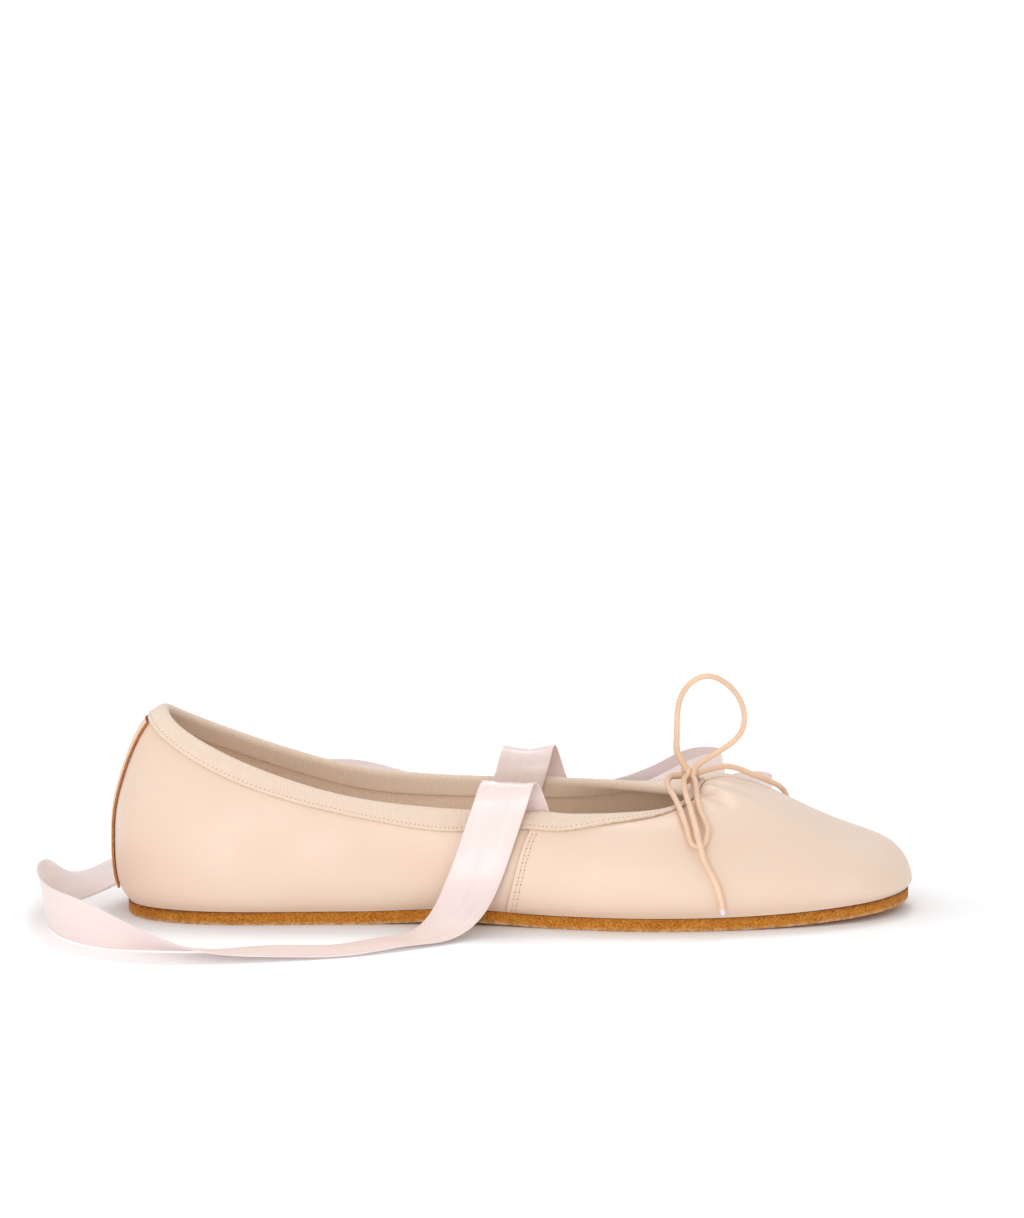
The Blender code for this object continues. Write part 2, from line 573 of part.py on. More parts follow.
def make_ribbon(name, rows, material, collection):
    """A flat ribbon along its run, turned as its heading and tilt say."""
    columns = dict(zip(RIBBON_COLUMNS, np.array(rows, float).T))
    heading = np.radians(columns["heading"])
    tilt = np.radians(columns["tilt"])
    width = np.column_stack([np.cos(heading), np.sin(heading), np.tan(tilt)])
    width /= np.linalg.norm(width, axis=1)[:, None]
    run = np.column_stack([columns["x"], columns["y"], columns["z"]])
    path = smooth_path(np.hstack([run, width]), RIBBON_STEP)
    middle = path[:, :3]
    ahead = np.gradient(middle, axis=0)
    ahead /= np.linalg.norm(ahead, axis=1)[:, None]
    across = path[:, 3:] - np.sum(path[:, 3:] * ahead, axis=1)[:, None] * ahead
    across /= np.linalg.norm(across, axis=1)[:, None]
    data = bmesh.new()
    edges = []
    for place, side in zip(middle, across * RIBBON_WIDTH / 2):
        edges.append([data.verts.new(place + side), data.verts.new(place - side)])
    for here, there in zip(edges[:-1], edges[1:]):
        data.faces.new((here[0], here[1], there[1], there[0]))
    # Both sides of the twisted sheet keep the same diagonals, so its thickness never crosses itself.
    bmesh.ops.triangulate(data, faces=data.faces)
    ribbon = add_mesh(name, data, material, collection)
    body = ribbon.modifiers.new("thickness", "SOLIDIFY")
    body.thickness = RIBBON_THICKNESS
    body.offset = 0.0


def main():
    clear_scene()
    shoe = make_collection("ballet_flat")
    last = Last()
    leather = make_material("nude_leather", 0.45)
    sole_leather = make_material("sole_leather", 0.8)
    tape = make_material("collar_tape", 0.8)
    insole_leather = make_material("insole_leather", 0.6)
    make_upper(last, leather, shoe)
    sole_levels = ((SOLE_ARRIS, 0.0), (0.0, SOLE_ARRIS), (0.0, SOLE_THICKNESS))
    slab("outsole", last, sole_levels, sole_leather, shoe)
    insole_inset = LASTING_MARGIN + CLEARANCE
    insole_low = SOLE_THICKNESS + CLEARANCE
    insole_levels = ((insole_inset, insole_low), (insole_inset, insole_low + INSOLE_THICKNESS))
    slab("insole", last, insole_levels, insole_leather, shoe)
    make_binding(last, tape, shoe)
    make_heel_strip(last, leather, shoe)
    cord = make_material("bow_cord", 0.5)
    make_knot(cord, shoe)
    for name, points in BOW_RUNS.items():
        make_cord(name, points, cord, shoe)
    satin = make_material("satin", 0.3)
    for name, rows in RIBBON_RUNS.items():
        make_ribbon(name, rows, satin, shoe)


main()
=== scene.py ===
"""The finished look of a soft leather ballet flat, the right shoe of a pair, with its bow and ankle ribbons.

+X points to the toe, -Y to the outer side of the foot, and the floor is Z = 0. Every size is in metres.
"""

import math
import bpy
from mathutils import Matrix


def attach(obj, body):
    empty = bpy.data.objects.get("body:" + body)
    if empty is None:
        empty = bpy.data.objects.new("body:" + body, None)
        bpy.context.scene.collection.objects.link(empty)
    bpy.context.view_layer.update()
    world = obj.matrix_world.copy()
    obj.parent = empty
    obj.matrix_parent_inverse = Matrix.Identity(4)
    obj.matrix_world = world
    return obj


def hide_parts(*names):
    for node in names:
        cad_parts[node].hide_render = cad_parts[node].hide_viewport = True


bl_info = {
    "name": "Ballet flat",
    "version": (1, 0, 0),
    "blender": (4, 5, 0),
    "location": "View3D > Sidebar > Ballet flat",
    "description": "Dresses a soft leather ballet flat: upper, sole, collar tape, bow and ribbons",
    "category": "Object",
}

import bmesh
import bpy
import numpy as np
from mathutils import Matrix

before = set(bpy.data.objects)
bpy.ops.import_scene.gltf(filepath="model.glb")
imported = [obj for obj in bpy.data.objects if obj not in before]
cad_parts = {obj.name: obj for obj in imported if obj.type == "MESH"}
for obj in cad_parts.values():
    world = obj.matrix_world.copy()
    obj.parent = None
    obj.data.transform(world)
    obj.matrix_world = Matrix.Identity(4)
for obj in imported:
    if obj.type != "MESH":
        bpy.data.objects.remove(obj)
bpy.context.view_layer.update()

# Driving sizes of the last.
LENGTH = 0.2535
BALL_WIDTH = 0.078
HEEL_HEIGHT = 0.0599
INSTEP_HEIGHT = 0.0305
TOE_SPRING = 0.0032
ARCH_LIFT = 0.0010

# Sizes that every piece shares.
WALL = 0.0013
SOLE_THICKNESS = 0.0038
LASTING_MARGIN = 0.0022
CLEARANCE = 0.0003
SEAM_STEP = 0.0008
SEAM_MARGIN = 0.012
SEAM_FADE = 0.16
HEEL_STRIP_FOOT = 0.20

# Where the sole leaves the floor, as shares of the length.
SPRING_START = 0.72
ARCH_START = 0.30
ARCH_END = 0.56

# Places round the shoe, from the back of the heel to the tip of the toe. The foot of the upper stands on
# the sole's edge, the rim is the collar. Along is a share of LENGTH, across a share of BALL_WIDTH, and
# rise goes from 0 at INSTEP_HEIGHT to 1 at HEEL_HEIGHT.
STATION_COLUMNS = ("foot_along", "foot_outer", "foot_inner", "rim_along", "rim_across", "rim_rise")
STATIONS = {
    "heel_back": (0.021, 0.000, 0.000, 0.066, 0.000, 1.000),
    "heel_turn": (0.037, 0.212, 0.212, 0.081, 0.165, 0.878),
    "heel_side": (0.098, 0.338, 0.325, 0.132, 0.282, 0.639),
    "quarter": (0.208, 0.365, 0.340, 0.224, 0.345, 0.333),
    "waist": (0.358, 0.356, 0.282, 0.358, 0.366, 0.080),
    "seam": (0.494, 0.400, 0.330, 0.522, 0.390, 0.000),
    "ball_back": (0.634, 0.492, 0.455, 0.628, 0.368, 0.000),
    "ball_front": (0.760, 0.480, 0.500, 0.688, 0.262, 0.000),
    "toe_side": (0.882, 0.385, 0.412, 0.714, 0.145, 0.030),
    "toe_corner": (0.962, 0.225, 0.270, 0.7215, 0.068, 0.062),
    "toe_tip": (0.994, -0.026, 0.026, 0.7235, 0.000, 0.082),
}

# The side of the upper at some of those places: four guides of the curve from the foot to the rim. Reach is
# a share of the way from foot to rim on the floor, out a share of BALL_WIDTH beyond it, and up a share of
# the height from foot to rim.
PROFILE_COLUMNS = (
    "belly_reach", "belly_out", "belly_up",
    "shoulder_reach", "shoulder_out", "shoulder_up",
    "slope_reach", "slope_out", "slope_up",
    "crown_reach", "crown_out", "crown_up",
)
PROFILES = {
    "heel_back": (0.0, 0.052, 0.060, 0.00, 0.056, 0.380, 0.00, 0.044, 0.58, 0.48, 0.000, 0.97),
    "heel_side": (0.0, 0.060, 0.080, 0.00, 0.068, 0.360, 0.30, 0.051, 0.66, 0.75, 0.020, 0.90),
    "waist": (0.0, 0.056, 0.120, 0.25, 0.064, 0.360, 0.60, 0.050, 0.63, 0.85, 0.022, 0.86),
    "ball_back": (0.0, 0.058, 0.130, 0.00, 0.066, 0.400, 0.12, 0.050, 0.70, 0.50, 0.024, 0.93),
    "ball_front": (0.0, 0.052, 0.150, 0.02, 0.054, 0.490, 0.28, 0.036, 0.82, 0.76, 0.010, 1.10),
    "toe_side": (0.0, 0.044, 0.150, 0.02, 0.034, 0.540, 0.27, 0.015, 0.73, 0.84, 0.000, 1.30),
    "toe_corner": (0.0, 0.045, 0.064, 0.05, 0.012, 0.530, 0.28, 0.000, 0.60, 0.90, 0.000, 1.40),
    "toe_tip": (0.0, 0.038, 0.030, 0.055, 0.000, 0.529, 0.283, 0.000, 0.554, 0.917, 0.000, 1.35),
}

# Soft creases of the upper. A place round the shoe counts stations along the outer side, up is a share of
# the way from the sole to the collar, width and depth are in metres, and a depth below 0 is a ridge.
CREASE_COLUMNS = ("round_from", "up_from", "round_to", "up_to", "width", "depth")
CREASES = {
    "throat_fan_back": (7.30, 0.995, 7.05, 0.84, 0.0020, 0.00045),
    "throat_fan_outer": (8.00, 0.995, 7.72, 0.83, 0.0022, 0.00050),
    "throat_fan_front": (8.72, 0.995, 8.62, 0.80, 0.0020, 0.00045),
    "throat_fan_middle": (9.70, 0.995, 9.80, 0.82, 0.0018, 0.00035),
    "throat_fan_inner": (12.00, 0.995, 12.28, 0.83, 0.0022, 0.00045),
    "throat_fan_far": (12.70, 0.995, 12.95, 0.84, 0.0022, 0.00040),
    "pucker_front": (8.15, 0.965, 8.55, 0.925, 0.0015, -0.00075),
    "pucker_outer": (7.25, 0.935, 7.65, 0.900, 0.0015, -0.00075),
    "pucker_fold": (7.75, 0.950, 8.05, 0.915, 0.0009, 0.00060),
    "vamp_roll": (6.40, 0.62, 8.30, 0.70, 0.0070, 0.00035),
    "vamp_roll_inner": (11.70, 0.70, 13.60, 0.62, 0.0070, 0.00035),
    "toe_fold_outer": (8.50, 0.30, 9.30, 0.36, 0.0032, 0.00030),
    "toe_fold_inner": (10.70, 0.36, 11.50, 0.30, 0.0032, 0.00030),
    "toe_box_dent": (9.35, 0.42, 9.62, 0.60, 0.0050, 0.00040),
    "toe_box_dent_inner": (10.42, 0.55, 10.70, 0.42, 0.0050, 0.00030),
    "waist_drape": (3.70, 0.78, 4.60, 0.50, 0.0080, 0.00045),
    "waist_drape_inner": (15.40, 0.50, 16.30, 0.78, 0.0080, 0.00045),
    "quarter_dent": (2.50, 0.55, 3.30, 0.62, 0.0095, 0.00050),
    "quarter_dent_inner": (16.70, 0.62, 17.50, 0.55, 0.0095, 0.00050),
    "heel_roll": (0.45, 0.40, 1.60, 0.46, 0.0075, 0.00035),
    "heel_roll_inner": (18.40, 0.46, 19.55, 0.40, 0.0075, 0.00035),
}

# The bow's round leather cord, each run listed in metres. The knot lies on the collar tape at the
# throat, two loops and two ends come out of it.
KNOT_PLACE = (0.0560, -0.0016, 0.0425)
BOW_RUNS = {
    "bow_loop_upright": (
        (0.0546, -0.0020, 0.0453), (0.0522, -0.0023, 0.0495), (0.0518, -0.0027, 0.0550),
        (0.0519, -0.0030, 0.0610), (0.0525, -0.0030, 0.0660), (0.0543, -0.0030, 0.0702),
        (0.0575, -0.0030, 0.0733), (0.0614, -0.0024, 0.0744), (0.0654, -0.0020, 0.0732),
        (0.0692, -0.0014, 0.0702), (0.0718, -0.0008, 0.0664), (0.0731, -0.0002, 0.0617),
        (0.0727, 0.0000, 0.0573), (0.0699, 0.0000, 0.0533), (0.0655, -0.0002, 0.0502),
        (0.0614, -0.0004, 0.0477), (0.0582, -0.0008, 0.0452),
    ),
    "bow_loop_side": (
        (0.0527, -0.0028, 0.0427), (0.0503, -0.0045, 0.0429), (0.0489, -0.0078, 0.0421),
        (0.0490, -0.0122, 0.0408), (0.0500, -0.0172, 0.0397), (0.0509, -0.0218, 0.0387),
        (0.0522, -0.0276, 0.0366), (0.0534, -0.0325, 0.0339), (0.0546, -0.0364, 0.0304),
        (0.0560, -0.0388, 0.0276), (0.0582, -0.0390, 0.0271), (0.0600, -0.0370, 0.0292),
        (0.0605, -0.0343, 0.0315), (0.0596, -0.0313, 0.0340), (0.0584, -0.0270, 0.0363),
        (0.0578, -0.0215, 0.0384), (0.0577, -0.0160, 0.0401), (0.0576, -0.0105, 0.0415),
        (0.0572, -0.0062, 0.0424),
    ),
    "bow_end_side": (
        (0.0548, -0.0053, 0.0428), (0.0539, -0.0100, 0.0425), (0.0539, -0.0150, 0.0413),
        (0.0543, -0.0210, 0.0396), (0.0552, -0.0270, 0.0374), (0.0560, -0.0325, 0.0348),
        (0.0568, -0.0372, 0.0324), (0.0576, -0.0405, 0.0292), (0.0585, -0.0417, 0.0258),
        (0.0594, -0.0420, 0.0230), (0.0607, -0.0426, 0.0205), (0.0623, -0.0433, 0.0175),
        (0.0634, -0.0436, 0.0148), (0.0642, -0.0436, 0.0120), (0.0648, -0.0430, 0.0092),
        (0.0651, -0.0420, 0.0067),
    ),
    "bow_end_far": (
        (0.0591, 0.0002, 0.0431), (0.0634, 0.0025, 0.0440), (0.0672, 0.0042, 0.0444),
        (0.0712, 0.0055, 0.0436), (0.0751, 0.0068, 0.0418), (0.0788, 0.0086, 0.0401),
        (0.0815, 0.0112, 0.0385), (0.0838, 0.0145, 0.0369), (0.0856, 0.0185, 0.0352),
        (0.0870, 0.0228, 0.0331), (0.0880, 0.0270, 0.0306), (0.0885, 0.0305, 0.0280),
    ),
}

# The ankle ribbons lie untied: out of the collar, down the side and along the floor, on their edge where
# they turn. The outer one goes round the heel, and both lie in loose waves beside the inner side. Columns:
# the middle of the ribbon in metres, then where its width points, as a heading on the floor and a tilt
# above it in degrees.
RIBBON_COLUMNS = ("x", "y", "z", "heading", "tilt")
RIBBON_RUNS = {
    "ribbon_outer": (
        (0.0055, -0.0282, 0.0263, -5, 0), (0.0048, -0.0275, 0.03, -4, 0), (0.0038, -0.0268, 0.034, -3, 0),
        (0.0022, -0.0266, 0.0388, -3, 0), (0.0004, -0.0282, 0.0436, -1, 0),
        (-0.0012, -0.032, 0.0454, 0, 0), (-0.0029, -0.0353, 0.042, 0, 0), (-0.0049, -0.0362, 0.036, 0, 0),
        (-0.0074, -0.0366, 0.0285, 0, 0), (-0.0102, -0.0376, 0.0205, -3, 0),
        (-0.0135, -0.0398, 0.013, -8, 0), (-0.0178, -0.0442, 0.0065, -20, 0),
        (-0.025, -0.051, 0.002, -36, 0), (-0.036, -0.0586, 0.0015, -52, 0),
        (-0.051, -0.0673, 0.001, -64, 0), (-0.072, -0.0735, 0.0018, -76, 0),
        (-0.094, -0.0763, 0.0026, -90, 12), (-0.113, -0.0735, 0.0057, -107, 40),
        (-0.129, -0.064, 0.0082, -131, 70), (-0.14, -0.049, 0.0086, -150, 79),
        (-0.1455, -0.031, 0.0086, -169, 80), (-0.1465, -0.012, 0.0084, -183, 76),
        (-0.143, 0.009, 0.0068, -193, 54), (-0.137, 0.031, 0.003, -197, 18),
        (-0.13, 0.054, 0.0008, -198, 2), (-0.122, 0.0774, 0.0015, -200, 0),
        (-0.114, 0.0987, 0.0016, -202, 5), (-0.104, 0.123, 0.0044, -208, 30),
        (-0.0915, 0.144, 0.0078, -220, 66), (-0.076, 0.161, 0.0086, -234, 78),
        (-0.057, 0.1735, 0.0083, -250, 70), (-0.036, 0.1795, 0.0053, -263, 34),
        (-0.012, 0.181, 0.0028, -272, 6), (0.014, 0.1787, 0.0012, -275, 0),
        (0.036, 0.177, 0.0016, -273, 6), (0.056, 0.178, 0.0054, -264, 38),
        (0.07, 0.183, 0.0083, -236, 72), (0.0745, 0.1925, 0.0086, -180, 81),
        (0.068, 0.2015, 0.0083, -134, 74), (0.051, 0.2055, 0.005, -101, 34),
        (0.028, 0.2064, 0.0021, -90, 4), (0.004, 0.2047, 0.001, -87, 0), (-0.02, 0.204, 0.0018, -86, 0),
    ),
    "ribbon_inner": (
        (-0.001, 0.0272, 0.0263, 4, 0), (0.0002, 0.0267, 0.03, 3, 0), (0.0015, 0.0264, 0.034, 3, 0),
        (0.003, 0.0266, 0.0388, 3, 0), (0.0044, 0.0282, 0.0434, 3, 0), (0.0056, 0.0322, 0.0452, 3, 0),
        (0.0072, 0.0358, 0.0416, 4, 0), (0.0094, 0.0372, 0.0345, 7, 0), (0.0122, 0.0386, 0.0265, 9, 0),
        (0.0152, 0.0406, 0.0188, 7, 0), (0.0188, 0.044, 0.0116, -2, 0), (0.0236, 0.0494, 0.0054, -20, 0),
        (0.0305, 0.0556, 0.0018, -38, 0), (0.041, 0.0619, 0.0015, -56, 0),
        (0.056, 0.0657, 0.0018, -72, 6), (0.073, 0.0685, 0.0048, -77, 36),
        (0.087, 0.0725, 0.008, -60, 68), (0.096, 0.08, 0.0086, -26, 79), (0.0955, 0.09, 0.0086, 26, 80),
        (0.086, 0.097, 0.0083, 64, 70), (0.069, 0.0995, 0.005, 84, 34), (0.046, 0.099, 0.0024, 92, 4),
        (0.02, 0.0967, 0.0012, 94, 0), (-0.006, 0.095, 0.0008, 92, 0), (-0.034, 0.0949, 0.0021, 88, 5),
        (-0.057, 0.096, 0.0048, 82, 34), (-0.075, 0.1, 0.0082, 60, 70), (-0.0845, 0.1075, 0.0086, 20, 80),
        (-0.0835, 0.1175, 0.0086, -30, 80), (-0.073, 0.124, 0.0082, -68, 70),
        (-0.054, 0.126, 0.0047, -86, 32), (-0.03, 0.1242, 0.0016, -93, 4),
        (-0.004, 0.123, 0.0018, -94, 0), (0.022, 0.1217, 0.0012, -91, 0), (0.046, 0.1215, 0.0018, -87, 7),
        (0.067, 0.1245, 0.0053, -76, 38), (0.082, 0.131, 0.0083, -50, 72),
        (0.088, 0.1405, 0.0086, -4, 81), (0.0825, 0.1495, 0.0083, 44, 74), (0.067, 0.154, 0.005, 80, 36),
        (0.044, 0.1549, 0.0021, 91, 4), (0.018, 0.1527, 0.001, 92, 0), (-0.01, 0.1525, 0.0018, 91, 0),
        (-0.038, 0.1522, 0.0012, 90, 0), (-0.062, 0.153, 0.0008, 91, 0),
    ),
}

# Where the bow's cords come out of the casing, under the collar tape at the throat.
CASING_OUTER = ((0.0575, -0.0052, 0.0395), (0.0566, -0.0040, 0.0412), (0.0560, -0.0026, 0.0424))
CASING_INNER = ((0.0590, 0.0030, 0.0402), (0.0580, 0.0018, 0.0415), (0.0568, 0.0002, 0.0424))

# The cord is pressed wider where its loop leaves the knot: by how much, and where along it.
CORD_SWELL = 0.22
CORD_SWELL_PLACE = 0.011
CORD_SWELL_REACH = 0.006

# The cord's own wrap round the knot: how many turns, how far out across and up, and how far it runs along
# the shoe.
KNOT_WRAP_TURNS = 2.3
KNOT_WRAP_RADII = (0.0021, 0.0019)
KNOT_WRAP_RUN = 0.0040

# The lapped side seams lean to the toe: metres at the foot, then for each share of the way up and its
# square. The lean fades out beside the seam, its edge is rounded, and its two rows of stitches lie this far
# behind the edge and sink in a little.
SEAM_LEAN = (-0.0012, 0.0072, -0.0038)
SEAM_LEAN_REACH = 0.020
SEAM_LEAN_FADE = 0.014
SEAM_EDGE_ROUND = 0.00035
SEAM_ROWS = (0.0018, 0.0031)
SEAM_ROW_SINK = 0.00010
SEAM_ROW_WIDTH = 0.0004

# The lower edge of the collar tape runs up and down: places counted in stations, depths as shares of the
# drop. At a lapped seam the tape bridges the step over 5 mm, and its stitches lie 1.3 mm above this edge.
TAPE_EDGE = (
    (0.0, 1.00), (1.0, 0.96), (2.0, 1.03), (3.0, 0.98), (3.87, 0.93), (4.4, 1.09), (5.0, 0.89), (5.27, 1.06),
    (5.74, 0.80), (6.4, 0.82), (7.3, 0.96), (8.4, 0.93), (10.0, 1.00), (11.8, 0.94), (13.0, 0.98),
    (14.0, 0.89), (14.7, 1.04), (15.3, 0.93), (16.2, 1.06), (17.4, 0.96), (18.8, 1.02),
)
TAPE_BRIDGE = 0.005
TAPE_SEAM_UP = 0.0013

# Lengths from point to point of the meshes: round the upper, round the tape, round the sole, round the
# insole, along a ribbon and along the cord.
UPPER_STEP = 0.0012
TAPE_STEP = 0.0010
SOLE_STEP = 0.0012
INSOLE_STEP = 0.002
RIBBON_STEP = 0.0022
CORD_STEP = 0.0007

# Long, across and thick, the small grains that make a seam stitch, the painted shade of its hole, and a tape
# stitch. A stitch is as wide and thick as its thread.
SEAM_STITCH_LONG = 0.0015
SEAM_HOLE_SHADE = (0.00062, 0.0004, 0.0002)
TAPE_STITCH_LONG = 0.0009

# The upper is drawn down to a sharp corner on the sole's edge: how firmly, and over which width.
FOOT_GRIP = 0.8
FOOT_GRIP_WIDTH = 0.0009

# The floor glows softly as painted light, but not in an oval round the shoe, where it is left darker as
# painted shade: one over half its length and half its width.
SHOE_ROUND = (1.0 / 0.127, 1.0 / 0.043, 0.0)

# The camera stands low at the outer side, level with the middle of the shoe.
CAMERA_PLACE = (0.0, -1.684, 0.351)
CAMERA_PITCH = math.radians(81.367)
CAMERA_LENS = 190.76


class SHOE_PG_sizes(bpy.types.PropertyGroup):
    """The sizes of the finish, which a user may change"""

    tape_thickness: bpy.props.FloatProperty(
        name="Tape thickness", description="How thick the ribbed collar tape is", default=0.0007,
        unit="LENGTH",
    )
    tape_drop: bpy.props.FloatProperty(
        name="Tape drop", description="How far the tape reaches below the rim", default=0.0054, unit="LENGTH"
    )
    rib_pitch: bpy.props.FloatProperty(
        name="Rib pitch", description="From rib to rib of the collar tape", default=0.0006, unit="LENGTH"
    )
    strip_width: bpy.props.FloatProperty(
        name="Heel strip width", description="Width of the strip over the back seam", default=0.0125,
        unit="LENGTH",
    )
    strip_thickness: bpy.props.FloatProperty(
        name="Heel strip thickness", description="How thick the heel strip is", default=0.0009,
        unit="LENGTH",
    )
    cord_diameter: bpy.props.FloatProperty(
        name="Cord diameter", description="Diameter of the bow's cord", default=0.0018, unit="LENGTH"
    )
    ribbon_width: bpy.props.FloatProperty(
        name="Ribbon width", description="Width of the ankle ribbons", default=0.016, unit="LENGTH"
    )
    ribbon_thickness: bpy.props.FloatProperty(
        name="Ribbon thickness", description="How thick the satin is", default=0.0004, unit="LENGTH"
    )
    seam_stitch: bpy.props.FloatProperty(
        name="Seam stitch", description="From stitch to stitch of the side seams", default=0.00227,
        unit="LENGTH",
    )
    tape_stitch: bpy.props.FloatProperty(
        name="Tape stitch", description="From stitch to stitch of the collar tape", default=0.0014,
        unit="LENGTH",
    )
    thread: bpy.props.FloatProperty(
        name="Thread", description="Diameter of the sewing thread", default=0.00032, unit="LENGTH"
    )
    insole_thickness: bpy.props.FloatProperty(
        name="Insole thickness", description="How thick the insole is at its edge", default=0.0022,
        unit="LENGTH",
    )


def colour_property(name, description, default):
    return bpy.props.FloatVectorProperty(
        name=name, description=description, default=default, size=4, min=0.0, max=1.0, subtype="COLOR"
    )


class SHOE_PG_colours(bpy.types.PropertyGroup):
    """The colours of the finish"""

    leather: colour_property("Leather", "Smooth leather of the upper", (0.80, 0.625, 0.505, 1.0))
    # Deep leather is the grain's deeper tone and the heel strip's raw edges, and also the colour of painted
    # shade in the upper's folds, near the sole, beside its seams and at the heel.
    leather_deep_and_shade: colour_property(
        "Deep leather and shade", "Leather in its folds and near the sole", (0.74, 0.50, 0.335, 1.0)
    )
    strip: colour_property("Heel strip", "Leather of the heel strip", (0.78, 0.59, 0.46, 1.0))
    cut_edge: colour_property("Cut edge", "Raw edge of the leather", (0.36, 0.13, 0.035, 1.0))
    lining: colour_property("Lining", "Inside of the upper", (0.86, 0.69, 0.54, 1.0))
    tape: colour_property("Tape", "Ribbed collar tape", (0.88, 0.70, 0.56, 1.0))
    hem: colour_property("Hem", "Turned lower edge of the tape", (0.60, 0.36, 0.18, 1.0))
    thread: colour_property("Thread", "Sewing thread", (0.72, 0.50, 0.36, 1.0))
    # The stitch hole colour is painted shade: the dark inside a needle hole.
    stitch_hole_shade: colour_property("Stitch hole shade", "Dark hole beside each stitch", (0.36, 0.20, 0.11, 1.0))
    cord: colour_property("Cord", "Leather cord of the bow", (0.84, 0.585, 0.40, 1.0))
    cord_tip: colour_property("Cord tip", "Pale sealed tip of the cord", (0.78, 0.72, 0.86, 1.0))
    sole: colour_property("Sole", "Suede-like leather of the sole", (0.45, 0.155, 0.015, 1.0))
    sole_deep: colour_property("Deep sole", "Dark specks and joint of the sole", (0.17, 0.050, 0.008, 1.0))
    insole: colour_property("Insole", "Smooth leather of the insole", (0.76, 0.60, 0.45, 1.0))
    satin: colour_property("Satin", "Pale pink satin of the ribbons", (0.88, 0.72, 0.69, 1.0))
    floor: colour_property("Floor", "Plain pale floor", (0.93, 0.94, 0.95, 1.0))


def smooth_step(share):
    share = np.clip(share, 0.0, 1.0)
    return share * share * (3.0 - 2.0 * share)


def lift(along):
    """How far the sole's underside stands off the floor at this share of the length."""
    spring = np.clip((along - SPRING_START) / (1.0 - SPRING_START), 0.0, None) ** 2
    arch = np.sin(np.pi * np.clip((along - ARCH_START) / (ARCH_END - ARCH_START), 0.0, 1.0)) ** 2
    return TOE_SPRING * spring + ARCH_LIFT * arch


def closed_spline(knots, values, period, at):
    """A smooth closed curve through values at the knots, read at the places at."""
    count = len(knots)
    spans = np.diff(np.append(knots, knots[0] + period))
    matrix = np.zeros((count, count))
    right = np.zeros((count, values.shape[1]))
    rises = (np.roll(values, -1, axis=0) - values) / spans[:, None]
    for row in range(count):
        before = spans[row - 1]
        after = spans[row]
        matrix[row, row - 1] += after
        matrix[row, row] += 2.0 * (before + after)
        matrix[row, (row + 1) % count] += before
        right[row] = 3.0 * (after * rises[row - 1] + before * rises[row])
    slopes = np.linalg.solve(matrix, right)
    at = np.mod(np.asarray(at) - knots[0], period) + knots[0]
    span = np.clip(np.searchsorted(knots, at, side="right") - 1, 0, count - 1)
    following = (span + 1) % count
    width = spans[span][:, None]
    share = ((at - knots[span]) / spans[span])[:, None]
    return (
        (1 + 2 * share) * (1 - share) ** 2 * values[span]
        + share * (1 - share) ** 2 * width * slopes[span]
        + share**2 * (3 - 2 * share) * values[following]
        + share**2 * (share - 1) * width * slopes[following]
    )


def guide_weights(shares, guides, degree=3):
    """The weight of each guide of a clamped B-spline at each share of its length, one row a share."""
    inner = guides - degree
    knots = np.concatenate([np.zeros(degree), np.linspace(0, 1, inner + 1), np.ones(degree)])
    shares = np.clip(np.asarray(shares, float), 0.0, 1.0 - 1e-9)[:, None]
    weights = ((knots[:-1] <= shares) & (shares < knots[1:])).astype(float)
    for order in range(1, degree + 1):
        count = weights.shape[1] - 1
        rising = knots[order : order + count] - knots[:count]
        falling = knots[order + 1 : order + 1 + count] - knots[1 : 1 + count]
        rising = np.where(rising > 0, rising, 1.0)
        falling = np.where(falling > 0, falling, 1.0)
        weights = (
            weights[:, :-1] * (shares - knots[:count]) / rising
            + weights[:, 1:] * (knots[order + 1 : order + 1 + count] - shares) / falling
        )
    return weights


